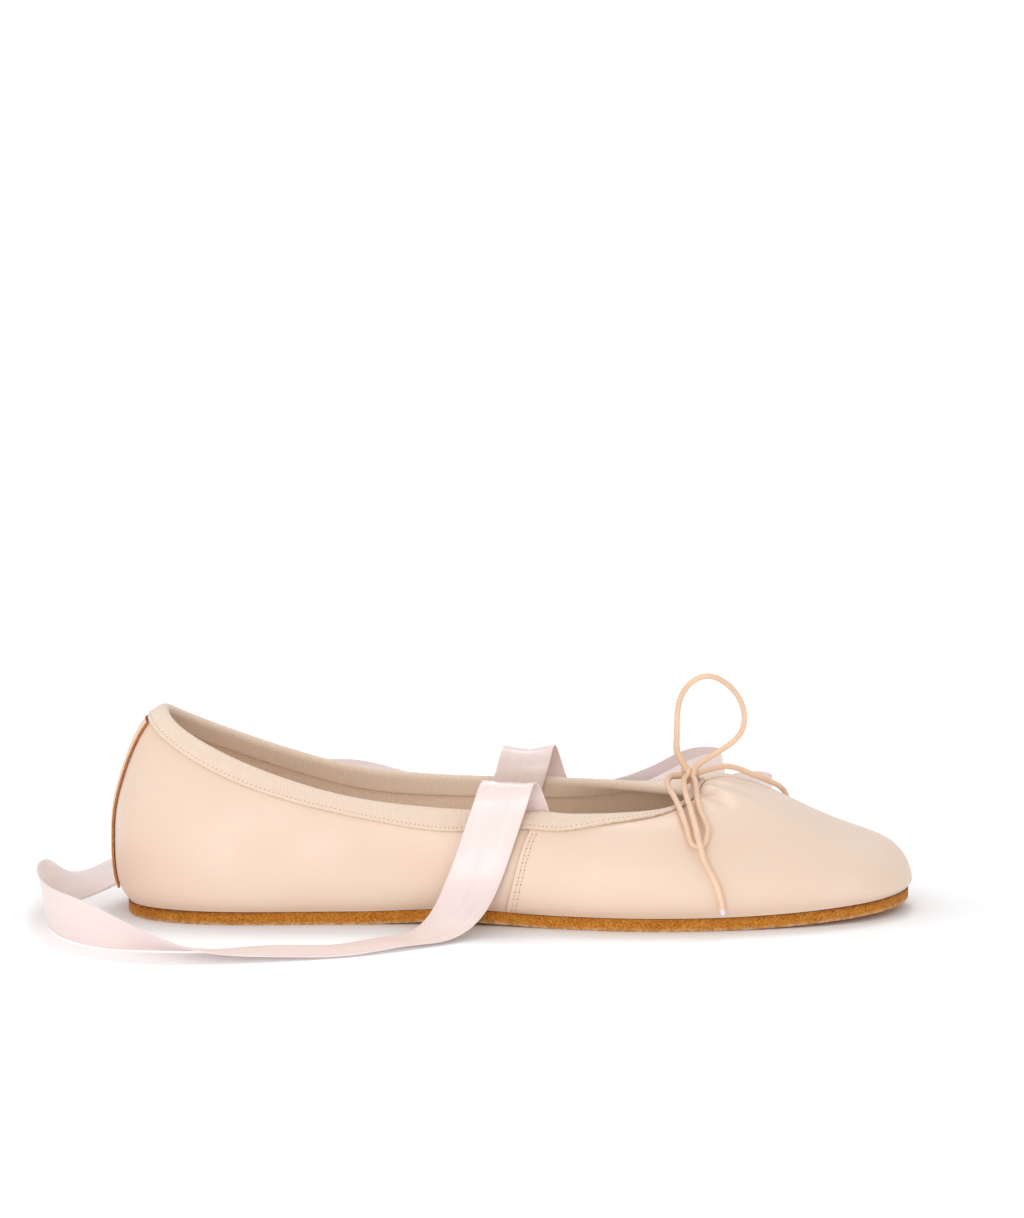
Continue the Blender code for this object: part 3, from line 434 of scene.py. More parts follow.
class Last:
    """The outer surface of the upper: u goes once round the sole, v from the foot to the rim."""

    def __init__(self):
        names = list(STATIONS)
        rows = [dict(zip(STATION_COLUMNS, STATIONS[name])) for name in names]
        outer = [(name, row, -1.0, "foot_outer") for name, row in zip(names, rows)]
        inner = [(name, row, 1.0, "foot_inner") for name, row in zip(names, rows)][-2:0:-1]
        self.round = outer + inner
        feet = []
        rims = []
        for _, row, side, column in self.round:
            across = side * row[column] * BALL_WIDTH
            feet.append((row["foot_along"] * LENGTH, across))
            rise = INSTEP_HEIGHT + row["rim_rise"] * (HEEL_HEIGHT - INSTEP_HEIGHT)
            rims.append((row["rim_along"] * LENGTH, side * row["rim_across"] * BALL_WIDTH, rise))
        self.lines = np.hstack([np.array(feet), np.array(rims)])
        steps = np.linalg.norm(np.diff(np.vstack([feet, feet[:1]]), axis=0), axis=1)
        self.knots = np.concatenate([[0.0], np.cumsum(steps)[:-1]])
        self.period = float(steps.sum())
        kept = [index for index, (name, *_) in enumerate(self.round) if name in PROFILES]
        self.profile_knots = self.knots[kept]
        self.profiles = np.array([PROFILES[self.round[index][0]] for index in kept])
        self.middle = np.zeros(2)
        self.middle = self.box_middle()

    def place(self, name, side=-1.0):
        for knot, (station, _, station_side, _) in zip(self.knots, self.round):
            if station == name and station_side == side:
                return float(knot)
        raise KeyError(name)

    def counted(self, number):
        """The place that lies this many stations round the shoe."""
        return np.interp(number, np.arange(len(self.knots) + 1), np.append(self.knots, self.period))

    def box_middle(self):
        """The middle of the shoe's box on the floor, with the heel strip counted."""
        points = self.surface(np.linspace(0, self.period, 400), np.linspace(0, 1, 30)).reshape(-1, 3)
        low = points[:, :2].min(axis=0)
        high = points[:, :2].max(axis=0)
        low[0] -= CLEARANCE + bpy.context.scene.shoe_sizes.strip_thickness
        return (low + high) / 2

    def outline(self, u, inset=0.0):
        """The sole's edge on the floor, moved in by inset, with its outward directions."""
        step = 1e-5
        edge = closed_spline(self.knots, self.lines, self.period, u)[:, :2]
        ahead = closed_spline(self.knots, self.lines, self.period, np.asarray(u) + step)[:, :2]
        behind = closed_spline(self.knots, self.lines, self.period, np.asarray(u) - step)[:, :2]
        run = ahead - behind
        run /= np.linalg.norm(run, axis=1)[:, None]
        # Going round by the outer side, the way out is on the right hand.
        out = np.stack([run[:, 1], -run[:, 0]], axis=1)
        return edge - inset * out - self.middle, out

    def surface(self, u, v, raised=0.0):
        """Points of the outer surface, one row for each u, at v or at that row of v."""
        u = np.atleast_1d(np.asarray(u, float))
        foot, out = self.outline(u)
        lines = closed_spline(self.knots, self.lines, self.period, u)
        rim = lines[:, 2:4] - self.middle
        along = lines[:, 0] / LENGTH
        floor = SOLE_THICKNESS + CLEARANCE
        foot_height = floor + lift(along)
        rim_height = floor + lines[:, 4]
        profiles = closed_spline(self.profile_knots, self.profiles, self.period, u)
        guides = [np.column_stack([foot - LASTING_MARGIN * out, foot_height])]
        guides.append(np.column_stack([foot, foot_height]))
        for first in range(0, len(PROFILE_COLUMNS), 3):
            reach, beyond, up = profiles[:, first : first + 3].T
            flat = foot + reach[:, None] * (rim - foot) + beyond[:, None] * BALL_WIDTH * out
            height = foot_height + up * (rim_height - foot_height)
            guides.append(np.column_stack([flat, height]))
        guides.append(np.column_stack([rim, rim_height]))
        v = np.broadcast_to(v, (len(u), np.shape(v)[-1]))
        weights = guide_weights(v.ravel(), len(guides)).reshape(*v.shape, -1)
        points = np.einsum("uvg,guk->uvk", weights, np.array(guides))
        if np.any(raised):
            points = points + np.asarray(raised)[..., None] * self.normals(u, v)
        return points

    def normals(self, u, v):
        """Outward directions of the surface at the same places."""
        turn = 2e-5
        rise = 1e-4
        v = np.asarray(v, float)
        low = np.clip(v - rise, 0, 1)
        high = np.clip(v + rise, 0, 1)
        u = np.atleast_1d(np.asarray(u, float))
        round_way = self.surface(u + turn, v) - self.surface(u - turn, v)
        up_way = self.surface(u, high) - self.surface(u, low)
        normals = np.cross(round_way, up_way)
        return normals / np.linalg.norm(normals, axis=2)[..., None]

    def side_lengths(self, u):
        """The way up the side from the rim down, at 161 places of v for each u."""
        fine = np.linspace(0, 1, 161)
        steps = np.linalg.norm(np.diff(self.surface(u, fine), axis=1), axis=2)
        left = np.cumsum(steps[:, ::-1], axis=1)[:, ::-1]
        return fine, np.hstack([left, np.zeros((len(left), 1))])

    def below_rim(self, u, drops):
        """The v of the places that lie these distances below the rim, one row for each u."""
        fine, left = self.side_lengths(u)
        drops = np.broadcast_to(drops, (len(left), np.shape(drops)[-1]))
        return np.array([np.interp(drop, row[::-1], fine[::-1]) for drop, row in zip(drops, left)])

    def round_places(self, spacing):
        """Even places once round the shoe, closer at the lapped edges of both side seams."""
        places = np.linspace(0, self.period, round(self.period / spacing) + 1)
        close = np.concatenate([np.linspace(-0.6, 0.9, 9), np.linspace(1.2, 3.9, 12)]) / 1000
        for seam, way in ((self.place("seam", -1.0), 1.0), (self.place("seam", 1.0), -1.0)):
            from_edge = way * (places - seam)
            places = places[(from_edge < -0.0009) | (from_edge > 0.0042)]
            places = np.append(places, seam + way * close)
        return np.sort(places)

    def past_seams(self, u):
        """How far each place lies past the outer and the inner side seam, towards the toe."""
        return u - self.place("seam", -1.0), self.place("seam", 1.0) - u

    def seam_rise(self, u):
        """How far the vamp stands proud where it laps over the quarter, with a rounded edge."""
        rise = np.zeros(len(u))
        for past in self.past_seams(u):
            on_vamp = (past > 0) & (past < SEAM_MARGIN)
            edge = np.clip(past / SEAM_EDGE_ROUND, 0.0, 1.0)
            lap = SEAM_STEP * (1.0 - smooth_step(past / SEAM_MARGIN)) * np.sqrt(1.0 - (1.0 - edge) ** 2)
            rise = np.where(on_vamp, lap, rise)
        return rise

    def tape_rise(self, u):
        """How far the lapped seams lift the collar tape, which bridges the step in front of each edge."""
        rise = np.zeros(len(u))
        for past in self.past_seams(u):
            past = past - sum(SEAM_LEAN)
            up = smooth_step(1.0 + past / TAPE_BRIDGE)
            down = 1.0 - smooth_step(past / SEAM_MARGIN)
            rise = np.maximum(rise, SEAM_STEP * np.where(past < 0, up, down))
        return rise

    def tape_edge(self, u):
        """The depth of the tape's lower edge at each place, as a share of the tape's drop."""
        rounds, shares = np.array(TAPE_EDGE).T
        return closed_spline(self.counted(rounds), shares[:, None], self.period, u)[:, 0]

    def slanted(self, u, v):
        """The place round the shoe of each point, moved so that the side seams lean to the toe."""
        u = np.asarray(u, float)[:, None]
        v = np.broadcast_to(v, (len(u), np.shape(v)[-1]))
        lean = SEAM_LEAN[0] + v * (SEAM_LEAN[1] + v * SEAM_LEAN[2])
        moved = u + 0.0 * lean
        for past, way in zip(self.past_seams(u), (1.0, -1.0)):
            moved += way * lean * smooth_step((SEAM_LEAN_REACH - np.abs(past)) / SEAM_LEAN_FADE)
        return moved

    def spots(self, u, v):
        """Points and outward directions of the surface where every point has its own u and v."""
        flat_u = u.ravel()
        flat_v = np.broadcast_to(v, u.shape).reshape(-1, 1)
        points = self.surface(flat_u, flat_v).reshape(*u.shape, 3)
        return points, self.normals(flat_u, flat_v).reshape(*u.shape, 3)

    def foot_corner(self, u):
        """Where the upper's side and its lasting margin would meet in a sharp corner."""
        foot, _ = self.outline(u)
        along = (foot[:, 0] + self.middle[0]) / LENGTH
        return np.column_stack([foot, SOLE_THICKNESS + CLEARANCE + lift(along)])


class Run:
    """A smooth line through chosen points, read by the length walked; further columns are carried along."""

    def __init__(self, points):
        self.points = np.asarray(points, float)
        count = len(self.points)
        steps = np.linalg.norm(np.diff(self.points[:, :3], axis=0), axis=1)
        self.knots = np.append(0.0, np.cumsum(steps))
        spans = np.diff(self.knots)
        matrix = np.zeros((count, count))
        right = np.zeros(self.points.shape)
        matrix[0, :2] = (2.0, 1.0)
        matrix[-1, -2:] = (1.0, 2.0)
        rises = np.diff(self.points, axis=0) / spans[:, None]
        right[0] = 3.0 * rises[0]
        right[-1] = 3.0 * rises[-1]
        for row in range(1, count - 1):
            before = spans[row - 1]
            after = spans[row]
            matrix[row, row - 1 : row + 2] = (after, 2.0 * (before + after), before)
            right[row] = 3.0 * (after * rises[row - 1] + before * rises[row])
        self.slopes = np.linalg.solve(matrix, right)
        self.fine = np.linspace(0, self.knots[-1], 4000)
        walk = np.linalg.norm(np.diff(self.at_knot(self.fine)[:, :3], axis=0), axis=1)
        self.walked = np.append(0.0, np.cumsum(walk))
        self.length = float(self.walked[-1])

    def at_knot(self, at):
        span = np.clip(np.searchsorted(self.knots, at, side="right") - 1, 0, len(self.knots) - 2)
        width = np.diff(self.knots)[span][:, None]
        share = (at - self.knots[span])[:, None] / width
        return (
            (1 + 2 * share) * (1 - share) ** 2 * self.points[span]
            + share * (1 - share) ** 2 * width * self.slopes[span]
            + share**2 * (3 - 2 * share) * self.points[span + 1]
            + share**2 * (share - 1) * width * self.slopes[span + 1]
        )

    def at(self, walked):
        return self.at_knot(np.interp(walked, self.walked, self.fine))

    def stops(self, step):
        return np.linspace(0, self.length, round(self.length / step) + 1)


def unit(vectors):
    return vectors / np.linalg.norm(vectors, axis=-1, keepdims=True)


def surface_mesh(points, along, around, layers=None, face_materials=None):
    """A mesh over a grid of points, columns first, with a UV map in metres and named point layers."""
    columns, rows = points.shape[0] - 1, points.shape[1] - 1
    data = bmesh.new()
    bmesh.ops.create_grid(data, x_segments=columns, y_segments=rows, size=0.5)
    uv = data.loops.layers.uv.new("UVMap")
    stores = {name: data.verts.layers.float.new(name) for name in layers or {}}
    along = np.broadcast_to(along if np.ndim(along) == 2 else np.asarray(along)[:, None], points.shape[:2])
    around = np.broadcast_to(around, points.shape[:2])
    places = {}
    for vertex in data.verts:
        column = round((vertex.co.x + 0.5) * columns)
        row = round((vertex.co.y + 0.5) * rows)
        places[vertex] = (column, row)
    for face in data.faces:
        low = min(places[vertex][1] for vertex in face.verts)
        if face_materials is not None:
            face.material_index = int(face_materials[low])
        for loop in face.loops:
            place = places[loop.vert]
            loop[uv].uv = (along[place], around[place])
    for vertex, place in places.items():
        vertex.co = points[place]
        for name, store in stores.items():
            vertex[store] = float(layers[name][place])
    bmesh.ops.remove_doubles(data, verts=data.verts, dist=1e-6)
    return data


def close_ends(data):
    """Closes the open ends of a swept form."""
    ends = [edge for edge in data.edges if edge.is_boundary]
    bmesh.ops.holes_fill(data, edges=ends, sides=0)


def new_piece(name, data, materials, stands_for=(), angle=50):
    """Turns finished mesh data into a piece of the shoe, riding on its one body."""
    bmesh.ops.recalc_face_normals(data, faces=data.faces)
    mesh = bpy.data.meshes.new(name)
    data.to_mesh(mesh)
    data.free()
    for material in materials:
        mesh.materials.append(material)
    mesh.shade_smooth()
    mesh.set_sharp_from_angle(angle=math.radians(angle))
    piece = bpy.data.objects.new(name, mesh)
    bpy.context.scene.collection.objects.link(piece)
    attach(piece, "root")
    if stands_for:
        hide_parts(*stands_for)
    return piece


def carried_frame(path):
    """Directions ahead and two across a line, turned as little as they can be from point to point."""
    ahead = unit(np.gradient(path, axis=0))
    start = np.array((0.0, 0.0, 1.0)) if abs(ahead[0, 2]) < 0.9 else np.array((1.0, 0.0, 0.0))
    side = [unit(np.cross(ahead[0], start))]
    for way in ahead[1:]:
        side.append(unit(side[-1] - np.dot(side[-1], way) * way))
    side = np.array(side)
    return ahead, side, np.cross(ahead, side)


def round_cord(path, radii, sides=14, tip_length=0.0022):
    """The skin of a round cord along a line, with rounded ends and the last stretch marked as its tip."""
    ahead, side, over = carried_frame(path)
    steps = np.append(0.0, np.cumsum(np.linalg.norm(np.diff(path, axis=0), axis=1)))
    turn = np.linspace(0, 2 * math.pi, sides + 1)
    cap = np.radians([80, 55, 30])
    lead = [path[0] - ahead[0] * radii[0] * math.sin(angle) for angle in cap]
    tail = [path[-1] + ahead[-1] * radii[-1] * math.sin(angle) for angle in cap[::-1]]
    line = np.vstack([lead, path, tail])
    ends = len(cap)
    sizes = np.concatenate([radii[0] * np.cos(cap), radii, radii[-1] * np.cos(cap[::-1])])
    side = np.vstack([side[:1]] * ends + [side] + [side[-1:]] * ends)
    over = np.vstack([over[:1]] * ends + [over] + [over[-1:]] * ends)
    along = np.concatenate([np.full(ends, 0.0), steps, np.full(ends, steps[-1])])
    ring = np.cos(turn)[None, :, None] * side[:, None] + np.sin(turn)[None, :, None] * over[:, None]
    points = line[:, None] + sizes[:, None, None] * ring
    tip = np.clip(1.0 - (steps[-1] - along) / tip_length, 0.0, 1.0)
    layers = {"tip": np.broadcast_to(tip[:, None], points.shape[:2])}
    data = surface_mesh(points, along, turn * np.mean(radii), layers)
    close_ends(data)
    return data


def add_node(tree, kind, values=None, **settings):
    """A node with its settings made and its sockets given a value or the output that feeds them."""
    made = tree.nodes.new(kind)
    for name, value in settings.items():
        setattr(made, name, value)
    for socket, value in (values or {}).items():
        if isinstance(value, bpy.types.NodeSocket):
            tree.links.new(value, made.inputs[socket])
        else:
            made.inputs[socket].default_value = value
    return made


def maths(tree, operation, first, second=0.0, third=0.0):
    node = add_node(tree, "ShaderNodeMath", {0: first, 1: second, 2: third}, operation=operation)
    return node.outputs[0]


def ranged(tree, value, low, high, to_low=0.0, to_high=1.0):
    values = {"Value": value, "From Min": low, "From Max": high, "To Min": to_low, "To Max": to_high}
    node = add_node(tree, "ShaderNodeMapRange", values, clamp=True)
    return node.outputs["Result"]


def blended(tree, factor, first, second, blend_type="MIX"):
    node = add_node(
        tree, "ShaderNodeMix", {0: factor, 6: first, 7: second}, data_type="RGBA", blend_type=blend_type
    )
    return node.outputs[2]


def new_group(name, inputs, outputs):
    """An empty node group with named sockets, and its two end nodes."""
    group = bpy.data.node_groups.new(name, "ShaderNodeTree")
    for socket, kind, default in inputs:
        made = group.interface.new_socket(socket, in_out="INPUT", socket_type=kind)
        if default is not None:
            made.default_value = default
    for socket, kind in outputs:
        group.interface.new_socket(socket, in_out="OUTPUT", socket_type=kind)
    start = group.nodes.new("NodeGroupInput")
    end = group.nodes.new("NodeGroupOutput")
    return group, start.outputs, end.inputs


def leather_grain_group():
    """Fine pores and soft pebbles of a smooth leather, with its slow drift of tone."""
    group, given, out = new_group(
        "Leather grain",
        [
            ("Vector", "NodeSocketVector", None),
            ("Pebble size", "NodeSocketFloat", 0.0011),
            ("Pore size", "NodeSocketFloat", 0.0004),
            ("Patch size", "NodeSocketFloat", 0.030),
        ],
        [("Height", "NodeSocketFloat"), ("Pores", "NodeSocketFloat"), ("Patches", "NodeSocketFloat")],
    )
    pebble_scale = maths(group, "DIVIDE", 1.0, given["Pebble size"])
    pore_scale = maths(group, "DIVIDE", 1.0, given["Pore size"])
    patch_scale = maths(group, "DIVIDE", 1.0, given["Patch size"])
    pebbles = add_node(
        group, "ShaderNodeTexVoronoi",
        {"Vector": given["Vector"], "Scale": pebble_scale, "Smoothness": 0.6, "Randomness": 1.0},
        feature="SMOOTH_F1",
    )
    pores = add_node(
        group, "ShaderNodeTexNoise",
        {"Vector": given["Vector"], "Scale": pore_scale, "Detail": 3.0, "Roughness": 0.6},
    )
    patches = add_node(
        group, "ShaderNodeTexNoise",
        {"Vector": given["Vector"], "Scale": patch_scale, "Detail": 2.0, "Roughness": 0.5},
    )
    domes = maths(group, "MULTIPLY", pebbles.outputs["Distance"], -0.55)
    height = maths(group, "MULTIPLY_ADD", pores.outputs["Fac"], 0.7, domes)
    group.links.new(height, out["Height"])
    group.links.new(ranged(group, pores.outputs["Fac"], 0.56, 0.74), out["Pores"])
    group.links.new(ranged(group, patches.outputs["Fac"], 0.36, 0.64), out["Patches"])
    return group


def ribbed_weave_group():
    """Cross ribs of a grosgrain tape, with the fine warp between them."""
    group, given, out = new_group(
        "Ribbed weave",
        [
            ("UV", "NodeSocketVector", None),
            ("Rib pitch", "NodeSocketFloat", 0.0006),
            ("Warp pitch", "NodeSocketFloat", 0.0003),
        ],
        [("Height", "NodeSocketFloat"), ("Grooves", "NodeSocketFloat"), ("Slubs", "NodeSocketFloat")],
    )
    place = add_node(group, "ShaderNodeSeparateXYZ", {0: given["UV"]})
    slub = add_node(
        group, "ShaderNodeTexNoise",
        {"Vector": given["UV"], "Scale": 420.0, "Detail": 3.0, "Roughness": 0.6},
    )
    sway = maths(group, "MULTIPLY_ADD", slub.outputs["Fac"], 0.00016, place.outputs["X"])
    ribs = maths(group, "PINGPONG", sway, maths(group, "MULTIPLY", given["Rib pitch"], 0.5))
    ribs = maths(group, "DIVIDE", ribs, maths(group, "MULTIPLY", given["Rib pitch"], 0.5))
    warp = maths(group, "PINGPONG", place.outputs["Y"], maths(group, "MULTIPLY", given["Warp pitch"], 0.5))
    warp = maths(group, "DIVIDE", warp, given["Warp pitch"])
    rounded = maths(group, "SINE", maths(group, "MULTIPLY", ribs, math.pi / 2))
    group.links.new(maths(group, "MULTIPLY_ADD", warp, 0.22, rounded), out["Height"])
    # Grooves marks the hollows between the ribs, where the tape's colour takes painted shade.
    group.links.new(ranged(group, ribs, 0.42, 0.0), out["Grooves"])
    group.links.new(ranged(group, slub.outputs["Fac"], 0.35, 0.65), out["Slubs"])
    return group


def satin_group():
    """Long floats of satin along a ribbon, with faint streaks."""
    group, given, out = new_group(
        "Satin threads",
        [("UV", "NodeSocketVector", None), ("Thread width", "NodeSocketFloat", 0.00022)],
        [("Height", "NodeSocketFloat"), ("Streaks", "NodeSocketFloat")],
    )
    across = maths(group, "DIVIDE", 1.0, given["Thread width"])
    along = maths(group, "MULTIPLY", across, 0.02)
    stretch = add_node(group, "ShaderNodeCombineXYZ", {"X": along, "Y": across, "Z": 1.0})
    vector = add_node(
        group, "ShaderNodeVectorMath", {0: given["UV"], 1: stretch.outputs[0]}, operation="MULTIPLY"
    )
    threads = add_node(
        group, "ShaderNodeTexNoise", {"Vector": vector.outputs[0], "Scale": 1.0, "Detail": 2.0}
    )
    broad = add_node(
        group, "ShaderNodeVectorMath", {0: given["UV"], 1: (28.0, 420.0, 1.0)}, operation="MULTIPLY"
    )
    streaks = add_node(
        group, "ShaderNodeTexNoise", {"Vector": broad.outputs[0], "Scale": 1.0, "Detail": 2.0}
    )
    group.links.new(threads.outputs["Fac"], out["Height"])
    group.links.new(ranged(group, streaks.outputs["Fac"], 0.3, 0.7), out["Streaks"])
    return group


def place_group(tree, group, values):
    node = tree.nodes.new("ShaderNodeGroup")
    node.node_tree = group
    for socket, value in values.items():
        if isinstance(value, bpy.types.NodeSocket):
            tree.links.new(value, node.inputs[socket])
        else:
            node.inputs[socket].default_value = value
    return node.outputs


def group_named(name, make):
    return bpy.data.node_groups.get(name) or make()


def new_material(name, values):
    """A material with its Principled shader, whose plain sockets take the values."""
    material = bpy.data.materials.new(name)
    material.use_nodes = True
    shader = material.node_tree.nodes["Principled BSDF"]
    for socket, value in values.items():
        shader.inputs[socket].default_value = value
    return material, material.node_tree, shader


def bump_into(tree, shader, height, distance, strength=1.0):
    bump = add_node(
        tree, "ShaderNodeBump", {"Height": height, "Distance": distance, "Strength": strength}
    )
    tree.links.new(bump.outputs["Normal"], shader.inputs["Normal"])


def object_vector(tree):
    return add_node(tree, "ShaderNodeTexCoord").outputs["Object"]


def uv_vector(tree):
    return add_node(tree, "ShaderNodeUVMap", uv_map="UVMap").outputs["UV"]


def layer_value(tree, name):
    return add_node(tree, "ShaderNodeAttribute", attribute_name=name).outputs["Fac"]


def leather_material(name, colour, deep, roughness=0.42):
    """Smooth pale leather: a soft sheen, fine pores, and a deeper tone from its shade layer, which is painted
    shade in the upper's folds, near the sole, beside its seams and at the heel, and the raw edges' own tone
    on the heel strip.
    """
    material, tree, shader = new_material(
        name,
        {"Specular IOR Level": 0.42, "Sheen Weight": 0.12, "Sheen Roughness": 0.4, "Coat Weight": 0.06,
         "Coat Roughness": 0.35, "Subsurface Weight": 0.06, "Subsurface Scale": 0.002},
    )
    grain = place_group(
        tree, group_named("Leather grain", leather_grain_group), {"Vector": object_vector(tree)}
    )
    tone = blended(tree, maths(tree, "MULTIPLY", grain["Patches"], 0.16), colour, deep)
    # Painted shade: the shade layer darkens the upper in folds, near the sole, beside its lapped seams and at
    # the heel; on the heel strip it darkens the raw edges, their own colour.
    tone = blended(tree, layer_value(tree, "shade"), tone, deep)
    tone = blended(tree, maths(tree, "MULTIPLY", grain["Pores"], 0.10), tone, deep)
    tree.links.new(tone, shader.inputs["Base Color"])
    gloss = ranged(tree, grain["Patches"], 0.0, 1.0, roughness - 0.05, roughness + 0.06)
    tree.links.new(gloss, shader.inputs["Roughness"])
    bump_into(tree, shader, grain["Height"], 0.00004, 0.55)
    return material


def lining_material(colours):
    """Matt backing leather inside the shoe, with a short nap."""
    material, tree, shader = new_material(
        "Lining", {"Specular IOR Level": 0.2, "Sheen Weight": 0.25, "Sheen Roughness": 0.6, "Roughness": 0.85}
    )
    nap = add_node(
        tree, "ShaderNodeTexNoise", {"Vector": object_vector(tree), "Scale": 1400.0, "Detail": 4.0}
    )
    deep = tuple(0.72 * part for part in colours.lining[:3]) + (1.0,)
    mask = ranged(tree, nap.outputs["Fac"], 0.35, 0.65, 0.0, 0.45)
    tree.links.new(blended(tree, mask, tuple(colours.lining), deep), shader.inputs["Base Color"])
    bump_into(tree, shader, nap.outputs["Fac"], 0.00008, 0.5)
    return material


def tape_material(sizes, colours):
    """Ribbed tape in the leather's colour, with painted shade between its ribs, and darker along its lower
    edge.
    """
    material, tree, shader = new_material(
        "Collar tape",
        {"Specular IOR Level": 0.3, "Sheen Weight": 0.35, "Sheen Roughness": 0.5, "Roughness": 0.72},
    )
    weave = place_group(
        tree, group_named("Ribbed weave", ribbed_weave_group),
        {"UV": uv_vector(tree), "Rib pitch": sizes.rib_pitch},
    )
    deep = tuple(0.78 * part for part in colours.tape[:3]) + (1.0,)
    # Painted shade in the grooves between the ribs.
    tone = blended(tree, maths(tree, "MULTIPLY", weave["Grooves"], 0.75), tuple(colours.tape), deep)
    tone = blended(tree, maths(tree, "MULTIPLY", weave["Slubs"], 0.15), tone, deep)
    tone = blended(tree, layer_value(tree, "hem"), tone, tuple(colours.hem))
    tree.links.new(tone, shader.inputs["Base Color"])
    bump_into(tree, shader, weave["Height"], 0.00014, 0.9)
    return material


def cut_edge_material(colours):
    """Raw brown edge of cut leather."""
    material, tree, shader = new_material("Cut edge", {"Specular IOR Level": 0.25, "Roughness": 0.8})
    fibres = add_node(
        tree, "ShaderNodeTexNoise", {"Vector": object_vector(tree), "Scale": 2200.0, "Detail": 3.0}
    )
    pale = tuple(min(1.0, 1.9 * part) for part in colours.cut_edge[:3]) + (1.0,)
    mask = ranged(tree, fibres.outputs["Fac"], 0.4, 0.7)
    tree.links.new(blended(tree, mask, tuple(colours.cut_edge), pale), shader.inputs["Base Color"])
    bump_into(tree, shader, fibres.outputs["Fac"], 0.0001, 0.6)
    return material


def cord_material(colours):
    """Round leather cord, with a pale sealed tip."""
    material, tree, shader = new_material(
        "Bow cord",
        {"Specular IOR Level": 0.4, "Sheen Weight": 0.1, "Coat Weight": 0.05, "Coat Roughness": 0.4},
    )
    grain = place_group(
        tree, group_named("Leather grain", leather_grain_group),
        {"Vector": object_vector(tree), "Pebble size": 0.0006, "Pore size": 0.0002, "Patch size": 0.012},
    )
    deep = tuple(0.72 * part for part in colours.cord[:3]) + (1.0,)
    tone = blended(tree, maths(tree, "MULTIPLY", grain["Patches"], 0.35), tuple(colours.cord), deep)
    tone = blended(tree, ranged(tree, layer_value(tree, "tip"), 0.15, 0.4), tone, tuple(colours.cord_tip))
    tree.links.new(tone, shader.inputs["Base Color"])
    tree.links.new(ranged(tree, grain["Patches"], 0.0, 1.0, 0.42, 0.55), shader.inputs["Roughness"])
    bump_into(tree, shader, grain["Height"], 0.00003, 0.6)
    return material


def satin_material(colours):
    """Pale pink satin with a long soft gleam and fine threads."""
    material, tree, shader = new_material(
        "Satin",
        {"Specular IOR Level": 0.65, "Sheen Weight": 0.3, "Sheen Roughness": 0.3, "Anisotropic": 0.6,
         "Coat Weight": 0.15, "Coat Roughness": 0.3},
    )
    threads = place_group(tree, group_named("Satin threads", satin_group), {"UV": uv_vector(tree)})
    deep = tuple(0.88 * part for part in colours.satin[:3]) + (1.0,)
    tone = blended(tree, maths(tree, "MULTIPLY", threads["Streaks"], 0.5), tuple(colours.satin), deep)
    tone = blended(tree, maths(tree, "MULTIPLY", layer_value(tree, "selvedge"), 0.35), tone, deep)
    tree.links.new(tone, shader.inputs["Base Color"])
    tree.links.new(ranged(tree, threads["Streaks"], 0.0, 1.0, 0.30, 0.42), shader.inputs["Roughness"])
    bump_into(tree, shader, threads["Height"], 0.00003, 0.5)
    return material


# The sole's lighter tones: its mottle, its pale specks and the loose fibres of its lower edge.
SOLE_MOTTLE = (0.56, 0.215, 0.028, 1.0)
SOLE_SPECK = (0.74, 0.36, 0.08, 1.0)
SOLE_FIBRE = (0.82, 0.62, 0.38, 1.0)


def sole_material(colours):
    """Tan sole leather with a mottled nap, a dark line under the upper and pale fibres at the bottom."""
    material, tree, shader = new_material(
        "Sole leather",
        {"Specular IOR Level": 0.15, "Sheen Weight": 0.06, "Sheen Roughness": 0.5, "Roughness": 0.9},
    )
    vector = object_vector(tree)

    def noise(scale, detail, roughness):
        values = {"Vector": vector, "Scale": scale, "Detail": detail, "Roughness": roughness}
        return add_node(tree, "ShaderNodeTexNoise", values).outputs["Fac"]

    specks = noise(1700.0, 4.0, 0.75)
    clouds = noise(320.0, 3.0, 0.5)
    ragged = noise(520.0, 3.0, 0.7)
    deep = tuple(colours.sole_deep)
    tone = blended(tree, ranged(tree, clouds, 0.35, 0.7), tuple(colours.sole), SOLE_MOTTLE)
    tone = blended(tree, ranged(tree, specks, 0.52, 0.62, 0.0, 0.75), tone, deep)
    tone = blended(tree, ranged(tree, specks, 0.46, 0.36, 0.0, 0.75), tone, SOLE_SPECK)
    joint = maths(tree, "MULTIPLY", layer_value(tree, "joint"), ranged(tree, ragged, 0.38, 0.55, 0.3, 1.0))
    tone = blended(tree, joint, tone, deep)
    fuzz = maths(tree, "MULTIPLY", layer_value(tree, "fuzz"), ranged(tree, ragged, 0.56, 0.42, 0.25, 1.0))
    tone = blended(tree, fuzz, tone, SOLE_FIBRE)
    tree.links.new(tone, shader.inputs["Base Color"])
    bump_into(tree, shader, specks, 0.00016, 0.8)
    return material


def insole_material(colours):
    """Smooth matt insole leather."""
    material, tree, shader = new_material("Insole leather", {"Specular IOR Level": 0.3, "Roughness": 0.6})
    grain = place_group(
        tree, group_named("Leather grain", leather_grain_group),
        {"Vector": object_vector(tree), "Patch size": 0.018},
    )
    deep = tuple(0.78 * part for part in colours.insole[:3]) + (1.0,)
    tone = blended(tree, maths(tree, "MULTIPLY", grain["Patches"], 0.4), tuple(colours.insole), deep)
    tree.links.new(tone, shader.inputs["Base Color"])
    bump_into(tree, shader, grain["Height"], 0.00006, 0.5)
    return material


